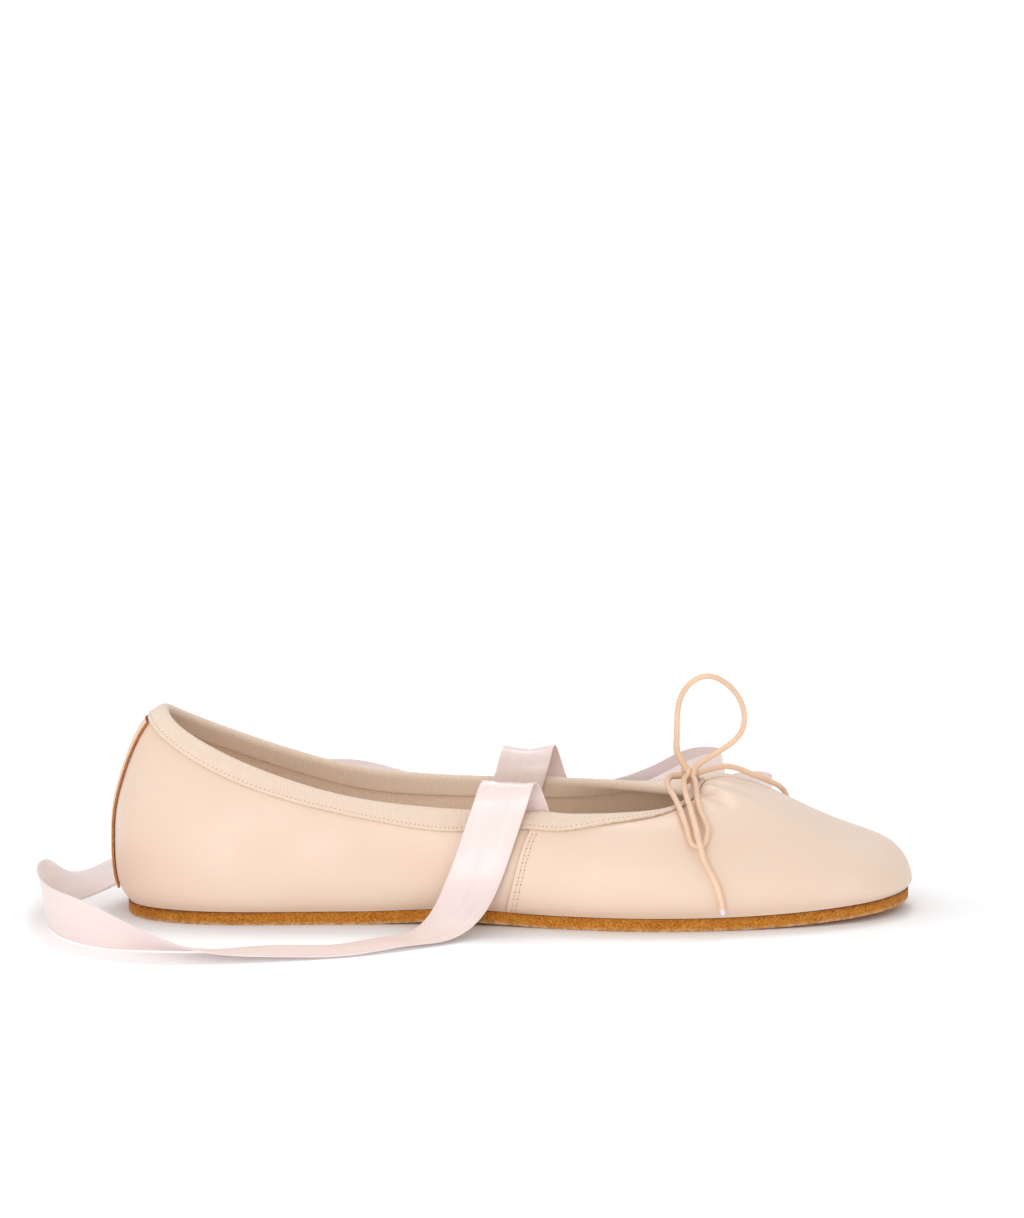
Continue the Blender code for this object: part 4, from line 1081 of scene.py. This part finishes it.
def thread_material(name, colour, roughness):
    """Twisted sewing thread, or the painted shade of a stitch hole."""
    material, tree, shader = new_material(name, {"Specular IOR Level": 0.3, "Roughness": roughness})
    twist = add_node(
        tree, "ShaderNodeTexNoise", {"Vector": object_vector(tree), "Scale": 5200.0, "Detail": 2.0}
    )
    deep = tuple(0.7 * part for part in colour[:3]) + (1.0,)
    mask = ranged(tree, twist.outputs["Fac"], 0.35, 0.65)
    tree.links.new(blended(tree, mask, tuple(colour), deep), shader.inputs["Base Color"])
    bump_into(tree, shader, twist.outputs["Fac"], 0.00005, 0.6)
    return material


def add_light(name, place, aim, size, power, colour=(1.0, 1.0, 1.0)):
    light = bpy.data.lights.new(name, "AREA")
    light.shape = "DISK"
    light.size = size
    light.energy = power
    light.color = colour
    lamp = bpy.data.objects.new(name, light)
    lamp.location = place
    way = np.array(aim, float) - np.array(place, float)
    lamp.rotation_euler = (
        math.atan2(math.hypot(way[0], way[1]), -way[2]), 0.0, math.atan2(way[1], way[0]) - math.pi / 2
    )
    bpy.context.scene.collection.objects.link(lamp)


class SHOE_OT_stage(bpy.types.Operator):
    """Adds the floor, the light and the camera"""

    bl_idname = "shoe.stage"
    bl_label = "Stage"

    def execute(self, context):
        colours = context.scene.shoe_colours
        camera = bpy.data.objects.new("camera", bpy.data.cameras.new("camera"))
        camera.data.sensor_fit = "HORIZONTAL"
        camera.data.lens = CAMERA_LENS
        camera.location = CAMERA_PLACE
        camera.rotation_euler = (CAMERA_PITCH, 0.0, 0.0)
        context.scene.collection.objects.link(camera)
        context.scene.camera = camera
        data = bmesh.new()
        bmesh.ops.create_grid(data, x_segments=1, y_segments=1, size=20.0)
        mesh = bpy.data.meshes.new("floor")
        data.to_mesh(mesh)
        data.free()
        floor = bpy.data.objects.new("floor", mesh)
        context.scene.collection.objects.link(floor)
        material, tree, shader = new_material("Floor", {"Roughness": 0.9, "Specular IOR Level": 0.1})
        shader.inputs["Base Color"].default_value = colours.floor
        shader.inputs["Emission Color"].default_value = (1.0, 1.0, 1.0, 1.0)
        place = object_vector(tree)
        # Painted light: the floor glows more with distance, and its glow is held off in an oval round the
        # shoe, which leaves painted shade round it.
        reach = add_node(tree, "ShaderNodeVectorMath", {0: place}, operation="LENGTH")
        round_shoe = add_node(tree, "ShaderNodeVectorMath", {0: place, 1: SHOE_ROUND}, operation="MULTIPLY")
        past = add_node(tree, "ShaderNodeVectorMath", {0: round_shoe.outputs[0]}, operation="LENGTH")
        near = ranged(tree, past.outputs["Value"], 1.02, 1.5, 0.0, 0.14)
        glow = maths(tree, "ADD", near, ranged(tree, reach.outputs["Value"], 0.20, 0.90, 0.0, 0.22))
        tree.links.new(glow, shader.inputs["Emission Strength"])
        mesh.materials.append(material)
        world = bpy.data.worlds.new("studio")
        world.use_nodes = True
        world.node_tree.nodes["Background"].inputs["Color"].default_value = (1.0, 1.0, 1.0, 1.0)
        world.node_tree.nodes["Background"].inputs["Strength"].default_value = 0.80
        context.scene.world = world
        add_light("key", (-0.35, -1.62, 0.32), (0.0, 0.0, 0.02), 0.8, 8.0, (1.0, 0.995, 0.985))
        add_light("fill", (-1.3, -0.8, 0.40), (0.0, 0.0, 0.03), 1.2, 1.2, (1.0, 0.995, 0.985))
        add_light("top", (0.1, 0.60, 1.6), (0.0, 0.0, 0.02), 0.6, 5.5)
        context.scene.view_settings.view_transform = "Standard"
        return {"FINISHED"}


def ribbon_surface(rows, sizes, wave):
    """A thin satin band along its run, with a fuller woven edge and a slanted cut at its end."""
    rows = np.array(rows, float)
    turn = np.radians(rows[:, RIBBON_COLUMNS.index("heading") :])
    width = unit(np.column_stack([np.cos(turn[:, 0]), np.sin(turn[:, 0]), np.tan(turn[:, 1])]))
    run = Run(np.hstack([rows[:, :3], width]))
    stops = run.stops(RIBBON_STEP)
    across = np.array([-1.0, -0.965, -0.9, -0.6, -0.25, 0.1, 0.45, 0.75, 0.9, 0.965, 1.0])
    slant = 1.0 - 0.007 * (across + 1.0) / 2.0 / run.length
    face_side = []
    for share, shrink in zip(across, slant):
        path = run.at(stops * shrink)
        ahead = unit(np.gradient(path[:, :3], axis=0))
        sideways = unit(path[:, 3:] - np.sum(path[:, 3:] * ahead, axis=1)[:, None] * ahead)
        face = np.cross(ahead, sideways)
        ripple = 0.00022 * np.sin(stops * wave[0] + 2.2 * share) * np.sin(stops * wave[1] + 0.7)
        cup = -0.00035 * share**2
        middle = path[:, :3] + sideways * share * sizes.ribbon_width / 2
        middle = middle + face * (ripple + cup + 0.0001)[:, None]
        face_side.append((middle, face))
    thick = np.where(np.abs(across) > 0.93, 1.15, 1.0) * sizes.ribbon_thickness / 2
    thick[0] = thick[-1] = 0.4 * sizes.ribbon_thickness / 2
    front = [middle + face * half for (middle, face), half in zip(face_side, thick)]
    back = [middle - face * half for (middle, face), half in zip(face_side, thick)]
    ring = front + back[::-1] + front[:1]
    points = np.array(ring).swapaxes(0, 1)
    points[..., 2] = np.maximum(points[..., 2], 0.00008)
    spread = np.concatenate([across, across[::-1], across[:1]])
    around = spread * sizes.ribbon_width / 2
    edge = np.broadcast_to(smooth_step((np.abs(spread) - 0.86) / 0.1)[None], points.shape[:2])
    data = surface_mesh(points, stops, around, {"selvedge": edge})
    close_ends(data)
    return data, run


RIBBON_WAVES = {"ribbon_outer": (95.0, 41.0), "ribbon_inner": (83.0, 37.0)}


class SHOE_OT_ribbons(bpy.types.Operator):
    """Adds the two satin ankle ribbons, untied on the floor"""

    bl_idname = "shoe.ribbons"
    bl_label = "Ankle ribbons"

    def execute(self, context):
        sizes = context.scene.shoe_sizes
        satin = satin_material(context.scene.shoe_colours)
        for name, rows in RIBBON_RUNS.items():
            data, run = ribbon_surface(rows, sizes, RIBBON_WAVES[name])
            piece = new_piece(name + "_satin", data, [satin], [name], 40)
            path = run.at(run.stops(0.003))[:, :3]
        return {"FINISHED"}


class SHOE_OT_bow(bpy.types.Operator):
    """Adds the drawstring's bow: two cords through one knot"""

    bl_idname = "shoe.bow"
    bl_label = "Bow"

    def execute(self, context):
        radius = context.scene.shoe_sizes.cord_diameter / 2
        leather = cord_material(context.scene.shoe_colours)
        wrap = self.knot_wrap(radius, leather)
        cords = {
            "bow_cord_upright": (CASING_OUTER, "bow_loop_upright", "bow_end_far"),
            "bow_cord_side": (CASING_INNER, "bow_loop_side", "bow_end_side"),
        }
        for name, (casing, loop, end) in cords.items():
            points = list(casing) + list(BOW_RUNS[loop]) + [KNOT_PLACE] + list(BOW_RUNS[end])
            run = Run(points)
            walked = run.stops(CORD_STEP)
            path = run.at(walked)[:, :3]
            pressed = CORD_SWELL * np.exp(-(((walked - CORD_SWELL_PLACE) / CORD_SWELL_REACH) ** 2))
            radii = radius * (1.0 + pressed)
            piece = new_piece(name, round_cord(path, radii), [leather], [loop, end])
        return {"FINISHED"}

    def knot_wrap(self, radius, leather):
        """The cord's turns round the two loops where they cross."""
        turn = np.linspace(0, 2 * math.pi * KNOT_WRAP_TURNS, 70)
        share = turn / turn[-1]
        path = np.column_stack([
            KNOT_PLACE[0] + KNOT_WRAP_RUN * (share - 0.5),
            KNOT_PLACE[1] + KNOT_WRAP_RADII[0] * np.sin(turn),
            KNOT_PLACE[2] + KNOT_WRAP_RADII[1] * np.cos(turn),
        ])
        data = round_cord(path, np.full(len(path), radius), tip_length=0.00001)
        return new_piece("bow_knot_wrap", data, [leather], ["bow_knot"])


def crease_lift(last, points):
    """How far the creases and ridges lift or sink each point of the upper."""
    flat = points.reshape(-1, 3)
    total = np.zeros(len(flat))
    for values in CREASES.values():
        row = dict(zip(CREASE_COLUMNS, values))
        share = np.linspace(0, 1, 14)
        u = last.counted(row["round_from"] + share * (row["round_to"] - row["round_from"]))
        v = (row["up_from"] + share * (row["up_to"] - row["up_from"]))[:, None]
        line = last.surface(u, v)[:, 0]
        best = np.full(len(flat), np.inf)
        taper = np.zeros(len(flat))
        for index, (start, end) in enumerate(zip(line[:-1], line[1:])):
            way = end - start
            step = np.clip((flat - start) @ way / (way @ way), 0.0, 1.0)
            distance = np.linalg.norm(flat - start - step[:, None] * way, axis=1)
            nearer = distance < best
            best = np.where(nearer, distance, best)
            taper = np.where(nearer, (index + step) / (len(line) - 1), taper)
        fade = np.sin(np.pi * np.clip(taper, 0.0, 1.0)) ** 0.6
        trough = -np.exp(-((best / row["width"]) ** 2))
        ridge = 0.45 * np.exp(-(((best - 1.9 * row["width"]) / row["width"]) ** 2))
        total += row["depth"] * fade * (trough + ridge)
    return total.reshape(points.shape[:2])


class SHOE_OT_upper(bpy.types.Operator):
    """Adds the hollow leather upper, with its lapped side seams and soft creases"""

    bl_idname = "shoe.upper"
    bl_label = "Upper"

    def execute(self, context):
        sizes = context.scene.shoe_sizes
        colours = context.scene.shoe_colours
        last = Last()
        u = last.round_places(UPPER_STEP)
        total = last.side_lengths(u)[1][:, :1]
        low = np.array([0.0, 0.8, 1.5, 1.85, 2.1, 2.35, 2.65, 3.1, 3.8]) / 1000
        high = 0.93 * total
        arcs = np.hstack([
            low + 0.0 * total, low[-1] + 0.0008 + (high - low[-1] - 0.0008) * np.linspace(0, 1, 60),
            total * np.array([0.96, 0.985, 1.0]),
        ])
        v = last.below_rim(u, total - arcs)
        fade = smooth_step(v / SEAM_FADE)
        outside, outs = last.spots(last.slanted(u, v), v)
        outside = outside + (last.seam_rise(u)[:, None] * fade)[..., None] * outs
        creases = crease_lift(last, outside)
        keep = smooth_step(v / 0.08) * smooth_step((total - arcs - sizes.tape_drop * 0.6) / 0.003)
        troughs = self.stitch_troughs(last, u)[:, None] * fade
        outside = outside + (creases * keep + troughs)[..., None] * outs
        grip = FOOT_GRIP * np.exp(-(((arcs - LASTING_MARGIN) / FOOT_GRIP_WIDTH) ** 2))
        outside = outside + grip[..., None] * (last.foot_corner(u)[:, None] - outside)
        back_shares = np.concatenate([[1.0, 0.985], np.linspace(0.95, 0.04, 26), [0.0]])
        back_v = last.below_rim(u, total * (1.0 - back_shares))
        inside, inside_outs = last.spots(last.slanted(u, back_v), back_v)
        inside = inside - WALL * inside_outs
        points = np.concatenate([outside, inside, outside[:, :1]], axis=1)
        around = np.hstack([arcs, (2.0 - back_shares) * total, 2.1 * total])
        shade = self.shade(last, u, v, creases)
        lining_shade = np.zeros(inside.shape[:2])
        shade = np.concatenate([shade, lining_shade, shade[:, :1]], axis=1)
        rows = arcs.shape[1]
        face_materials = np.where(np.arange(points.shape[1]) < rows, 0, 1)
        data = surface_mesh(points, u, around, {"shade": shade}, face_materials)
        leather = leather_material("Nude leather", tuple(colours.leather), tuple(colours.leather_deep_and_shade))
        new_piece(
            "upper_leather", data, [leather, lining_material(colours)], ["upper"], 60
        )
        return {"FINISHED"}

    def stitch_troughs(self, last, u):
        """The shallow pull of both rows of stitches beside each side seam."""
        sink = np.zeros(len(u))
        for past in last.past_seams(u):
            for row in SEAM_ROWS:
                sink -= SEAM_ROW_SINK * np.exp(-(((past - row) / SEAM_ROW_WIDTH) ** 2))
        return sink

    def shade(self, last, u, v, creases):
        """How much painted shade darkens the leather: near the sole, in troughs, just behind each lapped seam
        and round the back of the heel.
        """
        # Painted shade low on the side, near the sole.
        low = 0.08 * (1.0 - smooth_step(v / 0.42))
        # Painted shade in the troughs of the creases.
        fold = np.clip(-creases / 0.0006, 0.0, 1.0) * 0.25
        # Painted shadow just behind the raised edge of each lapped seam.
        band = np.zeros(len(u))
        for past in last.past_seams(u):
            band += 0.55 * np.exp(-(((past + 0.0002) / 0.0003) ** 2))
        # Painted shade round the back of the heel.
        heel = 0.16 * np.exp(-((np.minimum(u, last.period - u) / 0.03) ** 2))
        return np.clip(low + fold + band[:, None] + heel[:, None], 0.0, 1.0)


class SHOE_OT_collar_tape(bpy.types.Operator):
    """Adds the ribbed tape folded over the collar"""

    bl_idname = "shoe.collar_tape"
    bl_label = "Collar tape"

    def execute(self, context):
        sizes = context.scene.shoe_sizes
        last = Last()
        u = last.round_places(TAPE_STEP)
        thickness = sizes.tape_thickness
        lap = last.tape_rise(u)
        near = CLEARANCE + lap
        drops = np.array([1.0, 0.985, 0.93, 0.84, 0.70, 0.55, 0.40, 0.25, 0.12])
        reach = sizes.tape_drop * last.tape_edge(u)
        v = last.below_rim(u, reach[:, None] * drops)
        edges = last.surface(u, v)
        outs = last.normals(u, v)
        body = thickness * np.array([0.30, 0.78, 1.0, 1.0, 1.0, 1.0, 1.0, 1.0, 1.0])
        front = edges + (near[:, None] + body)[..., None] * outs
        back = edges - (WALL + CLEARANCE + body)[None, :, None] * outs
        rim = last.surface(u, [1.0])[:, 0]
        out = last.normals(u, [1.0])[:, 0]
        run = last.surface(u + 1e-4, [1.0])[:, 0] - last.surface(u - 1e-4, [1.0])[:, 0]
        up = unit(np.cross(out, run))
        core = rim - out * WALL / 2
        turn = np.radians(np.linspace(0, 180, 9))
        far = WALL / 2 + CLEARANCE + thickness + lap[:, None] * (1 + np.cos(turn)) / 2
        fold = np.cos(turn)[None, :, None] * out[:, None] + np.sin(turn)[None, :, None] * up[:, None]
        outer_fold = core[:, None] + far[..., None] * fold
        inner_fold = core[:, None] + (far - thickness)[..., None] * fold
        hidden = [0, 4, 8]
        front_in = edges[:, hidden] + near[:, None, None] * outs[:, hidden]
        back_in = edges[:, hidden] - (WALL + CLEARANCE) * outs[:, hidden]
        outer = [front, outer_fold, back[:, ::-1]]
        inner = [back_in, inner_fold[:, ::-2], front_in[:, ::-1]]
        points = np.concatenate([*outer, *inner, front[:, :1]], axis=1)
        rim_run = np.append(0.0, np.cumsum(np.linalg.norm(np.diff(rim, axis=0), axis=1)))
        steps = np.linalg.norm(np.diff(points, axis=1), axis=2)
        around = np.hstack([np.zeros((len(u), 1)), np.cumsum(steps, axis=1)])
        hem = np.zeros(points.shape[:2])
        hem[:, 0] = 0.8
        hem[:, 1] = 0.35
        data = surface_mesh(points, rim_run, around, {"hem": hem})
        tape = tape_material(sizes, context.scene.shoe_colours)
        new_piece("collar_tape_ribbed", data, [tape], ["collar_binding"], 50)
        return {"FINISHED"}


class SHOE_OT_heel_strip(bpy.types.Operator):
    """Adds the narrow strip over the back seam, with its raw brown edges"""

    bl_idname = "shoe.heel_strip"
    bl_label = "Heel strip"

    def execute(self, context):
        sizes = context.scene.shoe_sizes
        colours = context.scene.shoe_colours
        last = Last()
        half = np.array([0.0, 0.2, 0.4, 0.6, 0.8, 0.93, 0.985, 1.0])
        across = np.concatenate([-half[:0:-1], half])
        u = across * sizes.strip_width / 2
        top = last.below_rim(u, [sizes.tape_drop + 2 * CLEARANCE])[:, 0]
        v = HEEL_STRIP_FOOT + np.outer(top - HEEL_STRIP_FOOT, np.linspace(0, 1, 60))
        edges = last.surface(u, v)
        outs = last.normals(u, v)
        rounding = np.interp(np.abs(across), [0.8, 0.93, 0.985, 1.0], [1.0, 0.95, 0.78, 0.55])
        backs = edges + (CLEARANCE + sizes.strip_thickness * rounding)[:, None, None] * outs
        fronts = (edges + CLEARANCE * outs)[::-1]
        points = np.concatenate([backs, fronts, backs[:1]]).swapaxes(0, 1)
        reach = np.concatenate([across, across[::-1], across[:1]])
        raw = np.broadcast_to((np.abs(reach) > 0.97).astype(float), points.shape[:2])
        along = np.linspace(0, 0.055, points.shape[0])
        rows = np.abs(reach[:-1]) + np.abs(reach[1:])
        face_materials = np.append(np.where(rows > 1.95, 1, 0), 0)
        around = reach * sizes.strip_width / 2
        data = surface_mesh(points, along, around, {"shade": 0.5 * raw}, face_materials)
        close_ends(data)
        deep = tuple(colours.leather_deep_and_shade)
        strip = leather_material("Heel strip leather", tuple(colours.strip), deep, 0.46)
        finish = [strip, cut_edge_material(colours)]
        new_piece("heel_strip_leather", data, finish, ["heel_strip"], 50)
        return {"FINISHED"}


def flat_form(last, levels, spacing, planes, crown=None):
    """A flat body with the sole's outline through (inset, height) levels, bent to the sole's lift."""
    count = round(last.period / spacing)
    u = np.linspace(0, last.period, count + 1)[:-1]
    data = bmesh.new()
    bmesh.ops.create_circle(data, cap_ends=True, segments=count, radius=1.0)
    ring = list(data.verts)
    edge, _ = last.outline(u, levels[0][0])
    for vertex, (x, y) in zip(ring, edge):
        vertex.co = (x, y, levels[0][1])
    rim = [item for item in data.edges if item.is_boundary]
    for inset, height in levels[1:]:
        made = bmesh.ops.extrude_edge_only(data, edges=rim)["geom"]
        upper = {}
        for item in made:
            if isinstance(item, bmesh.types.BMEdge):
                continue
            if isinstance(item, bmesh.types.BMVert):
                for link in item.link_edges:
                    other = link.other_vert(item)
                    if other in ring:
                        upper[ring.index(other)] = item
        edge, _ = last.outline(u, inset)
        ring = [upper[index] for index in range(count)]
        for vertex, (x, y) in zip(ring, edge):
            vertex.co = (x, y, height)
        rim = [item for item in made if isinstance(item, bmesh.types.BMEdge) and item.is_boundary]
    bmesh.ops.holes_fill(data, edges=rim, sides=0)
    for axis, places in planes.items():
        normal = (1, 0, 0) if axis == 0 else (0, 1, 0)
        for place in places:
            bmesh.ops.bisect_plane(
                data, geom=data.verts[:] + data.edges[:] + data.faces[:], dist=1e-7,
                plane_co=tuple(place * part for part in normal), plane_no=normal,
            )
    for vertex in data.verts:
        along = (vertex.co.x + last.middle[0]) / LENGTH
        if crown is not None and vertex.co.z > levels[-1][1] - 1e-7:
            vertex.co.z += crown(vertex.co.x, vertex.co.y)
        vertex.co.z += float(lift(along))
    return data


class SHOE_OT_sole(bpy.types.Operator):
    """Adds the tan leather sole with its rubbed lower edge"""

    bl_idname = "shoe.sole"
    bl_label = "Sole"

    def execute(self, context):
        last = Last()
        top = SOLE_THICKNESS + 0.75 * CLEARANCE
        levels = (
            (0.0005, 0.0), (0.00022, 0.00012), (0.00006, 0.0003), (0.0, 0.0006), (0.0, 0.0014),
            (0.0, 0.0024), (0.0, top - 0.0007), (0.0, top - 0.0003), (0.00003, top - 0.0001), (0.00010, top),
        )
        bends = np.linspace(-0.5, 0.5, 84) * LENGTH
        data = flat_form(last, levels, SOLE_STEP, {0: bends})
        joint = data.verts.layers.float.new("joint")
        fuzz = data.verts.layers.float.new("fuzz")
        for vertex in data.verts:
            along = (vertex.co.x + last.middle[0]) / LENGTH
            height = vertex.co.z - float(lift(along))
            ends = 0.30 + 0.65 * min(1.0, (2.3 * abs(along - 0.5)) ** 3)
            vertex[joint] = ends * float(smooth_step((height - top + 0.0011) / 0.0008))
            vertex[fuzz] = 0.95 * float(1.0 - smooth_step(height / 0.0010)) if height > 1e-6 else 0.25
        leather = sole_material(context.scene.shoe_colours)
        new_piece("sole_leather_layer", data, [leather], ["outsole"], 50)
        return {"FINISHED"}


class SHOE_OT_insole(bpy.types.Operator):
    """Adds the insole, softly hollowed under the heel and the ball"""

    bl_idname = "shoe.insole"
    bl_label = "Insole"

    def execute(self, context):
        last = Last()
        inset = LASTING_MARGIN + CLEARANCE
        low = SOLE_THICKNESS + CLEARANCE
        top = low + context.scene.shoe_sizes.insole_thickness

        def crown(x, y):
            heel = -0.0007 * math.exp(-(((x + 0.088) / 0.024) ** 2) - (y / 0.018) ** 2)
            ball = -0.0006 * math.exp(-(((x - 0.045) / 0.026) ** 2) - (y / 0.022) ** 2)
            arch = 0.0005 * math.exp(-(((x + 0.020) / 0.022) ** 2) - ((y - 0.012) / 0.014) ** 2)
            return heel + ball + arch

        levels = ((inset + 0.0003, low), (inset, low + 0.0003), (inset, top - 0.0006), (inset + 0.0005, top))
        planes = {0: np.linspace(-0.5, 0.5, 60) * LENGTH, 1: np.linspace(-0.5, 0.5, 20) * BALL_WIDTH}
        data = flat_form(last, levels, INSOLE_STEP, planes, crown)
        leather = insole_material(context.scene.shoe_colours)
        new_piece("insole_leather_layer", data, [leather], ["insole"], 50)
        return {"FINISHED"}


def scatter(places, ways, outs, size):
    """Many small rounded grains in one mesh: each at its place, long along its way, flat to its surface."""
    data = bmesh.new()
    for place, way, out in zip(places, ways, outs):
        side = np.cross(out, way)
        turn = Matrix((
            (way[0] * size[0], side[0] * size[1], out[0] * size[2], place[0]),
            (way[1] * size[0], side[1] * size[1], out[1] * size[2], place[1]),
            (way[2] * size[0], side[2] * size[1], out[2] * size[2], place[2]),
            (0.0, 0.0, 0.0, 1.0),
        ))
        bmesh.ops.create_uvsphere(data, u_segments=6, v_segments=4, radius=0.5, matrix=turn)
    return data


class SHOE_OT_stitching(bpy.types.Operator):
    """Adds the stitches of both side seams and of the collar tape"""

    bl_idname = "shoe.stitching"
    bl_label = "Stitching"

    def execute(self, context):
        sizes = context.scene.shoe_sizes
        colours = context.scene.shoe_colours
        last = Last()
        thread = thread_material("Sewing thread", colours.thread, 0.6)
        # Painted shade: a dark material for the stitch holes.
        hole = thread_material("Stitch hole shade", colours.stitch_hole_shade, 0.9)
        rows = {"places": [], "ways": [], "outs": []}
        holes = {"places": [], "ways": [], "outs": []}
        for side, way in ((-1.0, 1.0), (1.0, -1.0)):
            for row in SEAM_ROWS:
                self.seam_row(last, last.place("seam", side) + way * row, sizes, rows, holes)
        seam = scatter(**rows, size=(SEAM_STITCH_LONG, sizes.thread, sizes.thread))
        new_piece("seam_stitches", seam, [thread])
        # Dark grains of painted shade stand for the stitch holes.
        hole_shade_grains = scatter(**holes, size=SEAM_HOLE_SHADE)
        new_piece("seam_stitch_hole_shade", hole_shade_grains, [hole])
        tape = {"places": [], "ways": [], "outs": []}
        self.tape_row(last, sizes, tape)
        hem = scatter(**tape, size=(TAPE_STITCH_LONG, sizes.thread, sizes.thread))
        new_piece("tape_stitches", hem, [thread])
        return {"FINISHED"}

    def seam_row(self, last, u, sizes, rows, holes):
        """One row of stitches from the tape down to the sole, with a dark grain of painted shade for the hole
        between each two.
        """
        side = last.side_lengths([u])[1][0, 0]
        start = sizes.tape_drop + 0.0012
        drops = np.arange(start, side - 0.004, sizes.seam_stitch)
        v = last.below_rim([u], drops)
        fade = smooth_step(v / SEAM_FADE)
        rise = (last.seam_rise(np.array([u]))[:, None] - SEAM_ROW_SINK) * fade
        places, outs = last.spots(last.slanted([u], v), v)
        places = (places + rise[..., None] * outs)[0]
        outs = outs[0]
        ways = unit(np.gradient(places, axis=0))
        holes["places"] += list(places)
        holes["ways"] += list(ways)
        holes["outs"] += list(outs)
        middle = (places[:-1] + places[1:]) / 2
        rows["places"] += list(middle - 0.00002 * outs[:-1])
        rows["ways"] += list(ways[:-1])
        rows["outs"] += list(outs[:-1])

    def tape_row(self, last, sizes, tape):
        """The slanting stitches that hold the tape, a little above its lower edge."""
        u = np.linspace(0, last.period, 3000)
        rim = last.surface(u, [1.0])[:, 0]
        walked = np.append(0.0, np.cumsum(np.linalg.norm(np.diff(rim, axis=0), axis=1)))
        at = np.interp(np.arange(0, walked[-1], sizes.tape_stitch), walked, u)
        drop = sizes.tape_drop * last.tape_edge(at) - TAPE_SEAM_UP
        v = last.below_rim(at, drop[:, None])
        raised = CLEARANCE + sizes.tape_thickness + last.tape_rise(at)[:, None]
        places = last.surface(at, v, raised)[:, 0]
        outs = last.normals(at, v)[:, 0]
        runs = unit(last.surface(at + 1e-4, v)[:, 0] - last.surface(at - 1e-4, v)[:, 0])
        up = np.cross(outs, runs)
        tape["places"] += list(places)
        tape["ways"] += list(unit(0.8 * runs + 0.6 * up))
        tape["outs"] += list(outs)


class SHOE_PT_panel(bpy.types.Panel):
    """Lists the shoe's pieces in the sidebar"""

    bl_idname = "SHOE_PT_panel"
    bl_label = "Ballet flat"
    bl_space_type = "VIEW_3D"
    bl_region_type = "UI"
    bl_category = "Ballet flat"

    def draw(self, context):
        for operator in STEPS:
            self.layout.operator(operator.bl_idname)
        for group in (context.scene.shoe_sizes, context.scene.shoe_colours):
            for name in group.bl_rna.properties.keys():
                if name not in ("rna_type", "name"):
                    self.layout.prop(group, name)


STEPS = (
    SHOE_OT_stage,
    SHOE_OT_ribbons,
    SHOE_OT_bow,
    SHOE_OT_upper,
    SHOE_OT_collar_tape,
    SHOE_OT_heel_strip,
    SHOE_OT_sole,
    SHOE_OT_insole,
    SHOE_OT_stitching,
)
CLASSES = (SHOE_PG_sizes, SHOE_PG_colours, SHOE_PT_panel, *STEPS)


def register():
    for item in CLASSES:
        bpy.utils.register_class(item)
    bpy.types.Scene.shoe_sizes = bpy.props.PointerProperty(type=SHOE_PG_sizes)
    bpy.types.Scene.shoe_colours = bpy.props.PointerProperty(type=SHOE_PG_colours)


def unregister():
    del bpy.types.Scene.shoe_sizes
    del bpy.types.Scene.shoe_colours
    for item in reversed(CLASSES):
        bpy.utils.unregister_class(item)


def main():
    register()
    bpy.ops.shoe.stage()
    bpy.ops.shoe.ribbons()
    bpy.ops.shoe.bow()
    bpy.ops.shoe.upper()
    bpy.ops.shoe.collar_tape()
    bpy.ops.shoe.heel_strip()
    bpy.ops.shoe.sole()
    bpy.ops.shoe.insole()
    bpy.ops.shoe.stitching()


if __name__ == "__main__":
    main()
